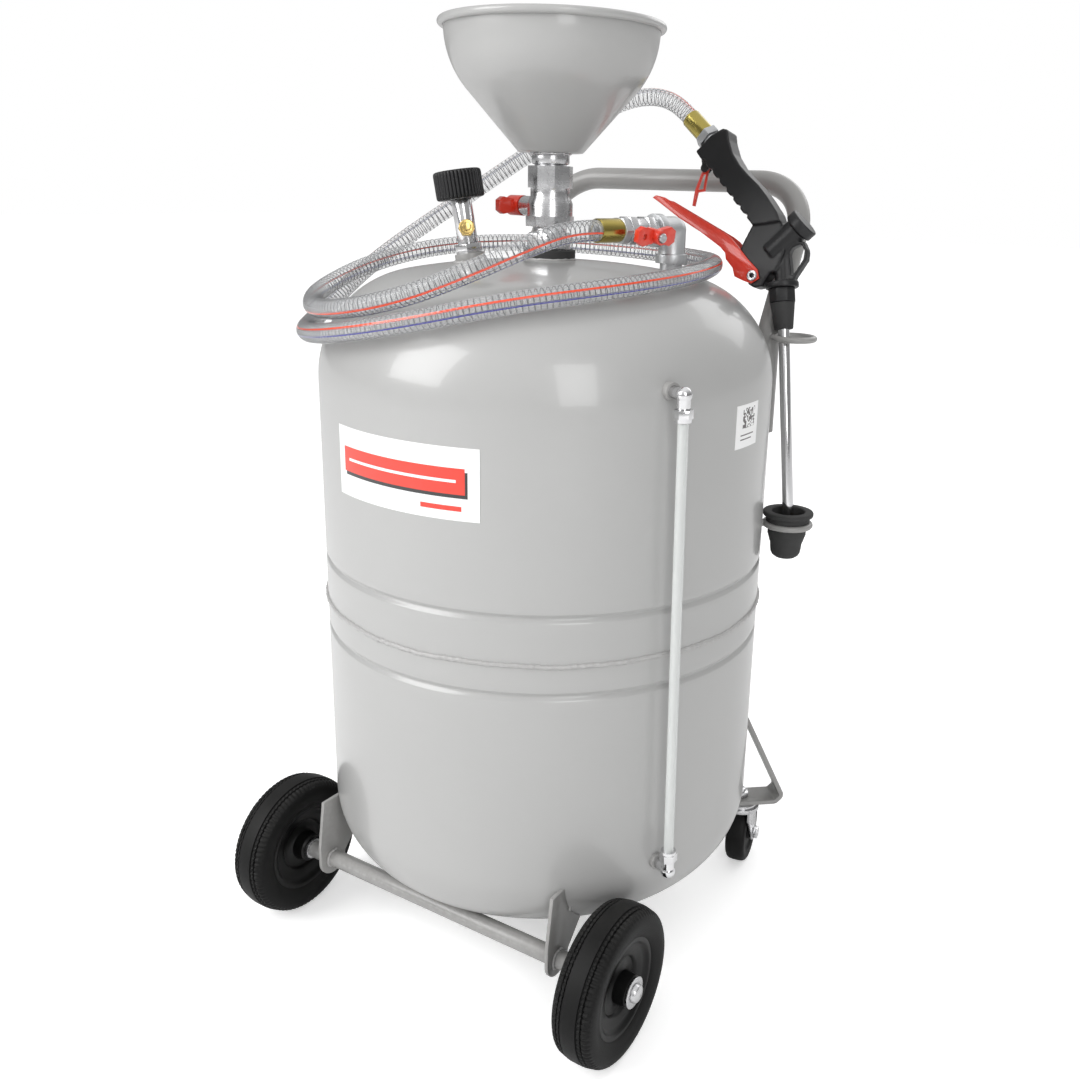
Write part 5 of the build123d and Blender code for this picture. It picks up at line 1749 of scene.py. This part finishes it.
# ---- Inner pieces -----------------------------------------------------------------------------
@dataclass
class InnerPieces:
    """CAD nodes that stay as they are, inside the fittings, with their own finish."""

    finishes: tuple[tuple[str, Finish], ...] = (
        ("dip_tube", STEEL),
        ("valve_seats", FRONT_LABEL),
        ("filler_plug", BRASS),
        ("safety_spring", STEEL),
        ("funnel_valve_ball", CHROME),
        ("outlet_valve_ball", CHROME),
        ("valve_pin", BRASS),
        ("valve_spring", STEEL),
    )

    def build(self) -> None:
        """Gives each inner node its material."""
        for node, finish in self.finishes:
            mesh = frame["nodes"][node].data
            mesh.materials.clear()
            mesh.materials.append(finish.material())
            LOG.info("%s: CAD shape kept, finish %s", node, finish.name)


# ---- Studio -----------------------------------------------------------------------------------
@dataclass
class Studio:
    """Pale floor, soft lights and the camera."""

    eye: Point = (624.2, -922.4, 787.3)
    heading: float = 30.94
    pitch: float = 16.41
    roll: float = 1.65
    lens: float = 36.04
    shift: tuple[float, float] = (-0.0584, -0.0301)
    low_sky: float = 0.25
    high_sky: float = 1.0
    floor_size: float = 40.0
    floor_glow: float = 0.42
    aim: Point = (0.0, 0.0, 0.45)
    lights: tuple[tuple[str, Point, Flat, float], ...] = (
        ("key", (-1.6, -2.6, 2.2), (1.8, 2.2), 74.0),
        ("side", (2.2, -2.0, 1.7), (1.0, 2.2), 26.0),
        ("back", (0.4, 2.6, 2.0), (2.0, 1.2), 10.0),
    )

    def camera(self) -> None:
        """Places the camera."""
        turn, down, tilt = (math.radians(angle) for angle in (self.heading, self.pitch, self.roll))
        flat = Vector((-math.sin(turn), math.cos(turn), 0))
        forward = flat * math.cos(down) - Vector((0, 0, math.sin(down)))
        level_right = Vector((math.cos(turn), math.sin(turn), 0))
        level_up = level_right.cross(forward)
        right = level_right * math.cos(tilt) + level_up * math.sin(tilt)
        up = level_up * math.cos(tilt) - level_right * math.sin(tilt)
        data = bpy.data.cameras.new("studio_camera")
        data.lens = self.lens
        data.sensor_width = 36.0
        data.shift_x, data.shift_y = self.shift
        data.clip_start = 0.01
        camera = bpy.data.objects.new("studio_camera", data)
        bpy.context.scene.collection.objects.link(camera)
        turning = Matrix((right, up, -forward)).transposed()
        camera.matrix_world = Matrix.Translation(spot(*self.eye)) @ turning.to_4x4()
        bpy.context.scene.camera = camera

    def floor(self) -> None:
        """The pale floor."""
        bpy.ops.mesh.primitive_plane_add(size=self.floor_size, location=(0, 0, 0))
        floor = bpy.context.object
        floor.name = "studio_floor"
        material = bpy.data.materials.new("studio_floor")
        nodes = Nodes.of(material)
        shader = nodes.tree.nodes["Principled BSDF"]
        shader.inputs["Base Color"].default_value = (0.93, 0.93, 0.93, 1.0)
        shader.inputs["Roughness"].default_value = 0.7
        seen = nodes.add("LightPath").outputs["Is Camera Ray"]
        nodes.link(nodes.math("MULTIPLY", seen, self.floor_glow), shader.inputs["Emission Strength"])
        shader.inputs["Emission Color"].default_value = (1.0, 1.0, 1.0, 1.0)
        floor.data.materials.append(material)

    def light(self, name: str, place: Point, size: Flat, power: float) -> None:
        """A soft rectangular light that faces the tank.

        Args:
            name: The light's name.
            place: Where it is, in metres.
            size: Its width and height in metres.
            power: Its power in watts.
        """
        data = bpy.data.lights.new(name, "AREA")
        data.shape = "RECTANGLE"
        data.size, data.size_y = size
        data.energy = power
        lamp = bpy.data.objects.new(name, data)
        bpy.context.scene.collection.objects.link(lamp)
        lamp.location = Vector(place)
        lamp.rotation_euler = (Vector(self.aim) - lamp.location).to_track_quat("-Z", "Y").to_euler()

    def world(self) -> None:
        """Even white surroundings."""
        world = bpy.data.worlds.new("studio_world")
        bpy.context.scene.world = world
        world.use_nodes = True
        nodes = Nodes(world.node_tree)
        direction = nodes.add("SeparateXYZ")
        nodes.link(nodes.add("TexCoord").outputs["Generated"], direction.inputs[0])
        sky = nodes.ranged(direction.outputs["Z"], -0.25, 0.75, self.low_sky, self.high_sky)
        sides = nodes.ranged(nodes.math("ABSOLUTE", direction.outputs["X"]), 0.3, 0.8, 1.0, 0.5)
        seen = nodes.add("LightPath").outputs["Is Camera Ray"]
        strength = nodes.math("MAXIMUM", nodes.math("MULTIPLY", sky, sides), seen)
        nodes.link(strength, world.node_tree.nodes["Background"].inputs["Strength"])
        world.node_tree.nodes["Background"].inputs["Color"].default_value = (1.0, 1.0, 1.0, 1.0)

    def build(self) -> None:
        """Builds the whole studio."""
        self.camera()
        self.floor()
        self.world()
        for light in self.lights:
            self.light(*light)
        bpy.context.scene.view_settings.view_transform = "Standard"


def main() -> None:
    """Builds the studio and every sub-assembly in order."""
    logging.basicConfig(level=logging.INFO, format="%(message)s")
    makers = [Studio(), Hose(), Tank(), Labels(), FrontAxle(), FrontWheel(Side.LEFT), FrontWheel(Side.RIGHT),
              CasterMounts(), Caster(Side.LEFT), Caster(Side.RIGHT), Handle(), GunHolder(), SightGauge(),
              FunnelStack(), Filler(), Outlet(), Gun(), InnerPieces()]
    for maker in makers:
        LOG.info("building %s", type(maker).__name__)
        maker.build()


if __name__ == "__main__":
    main()
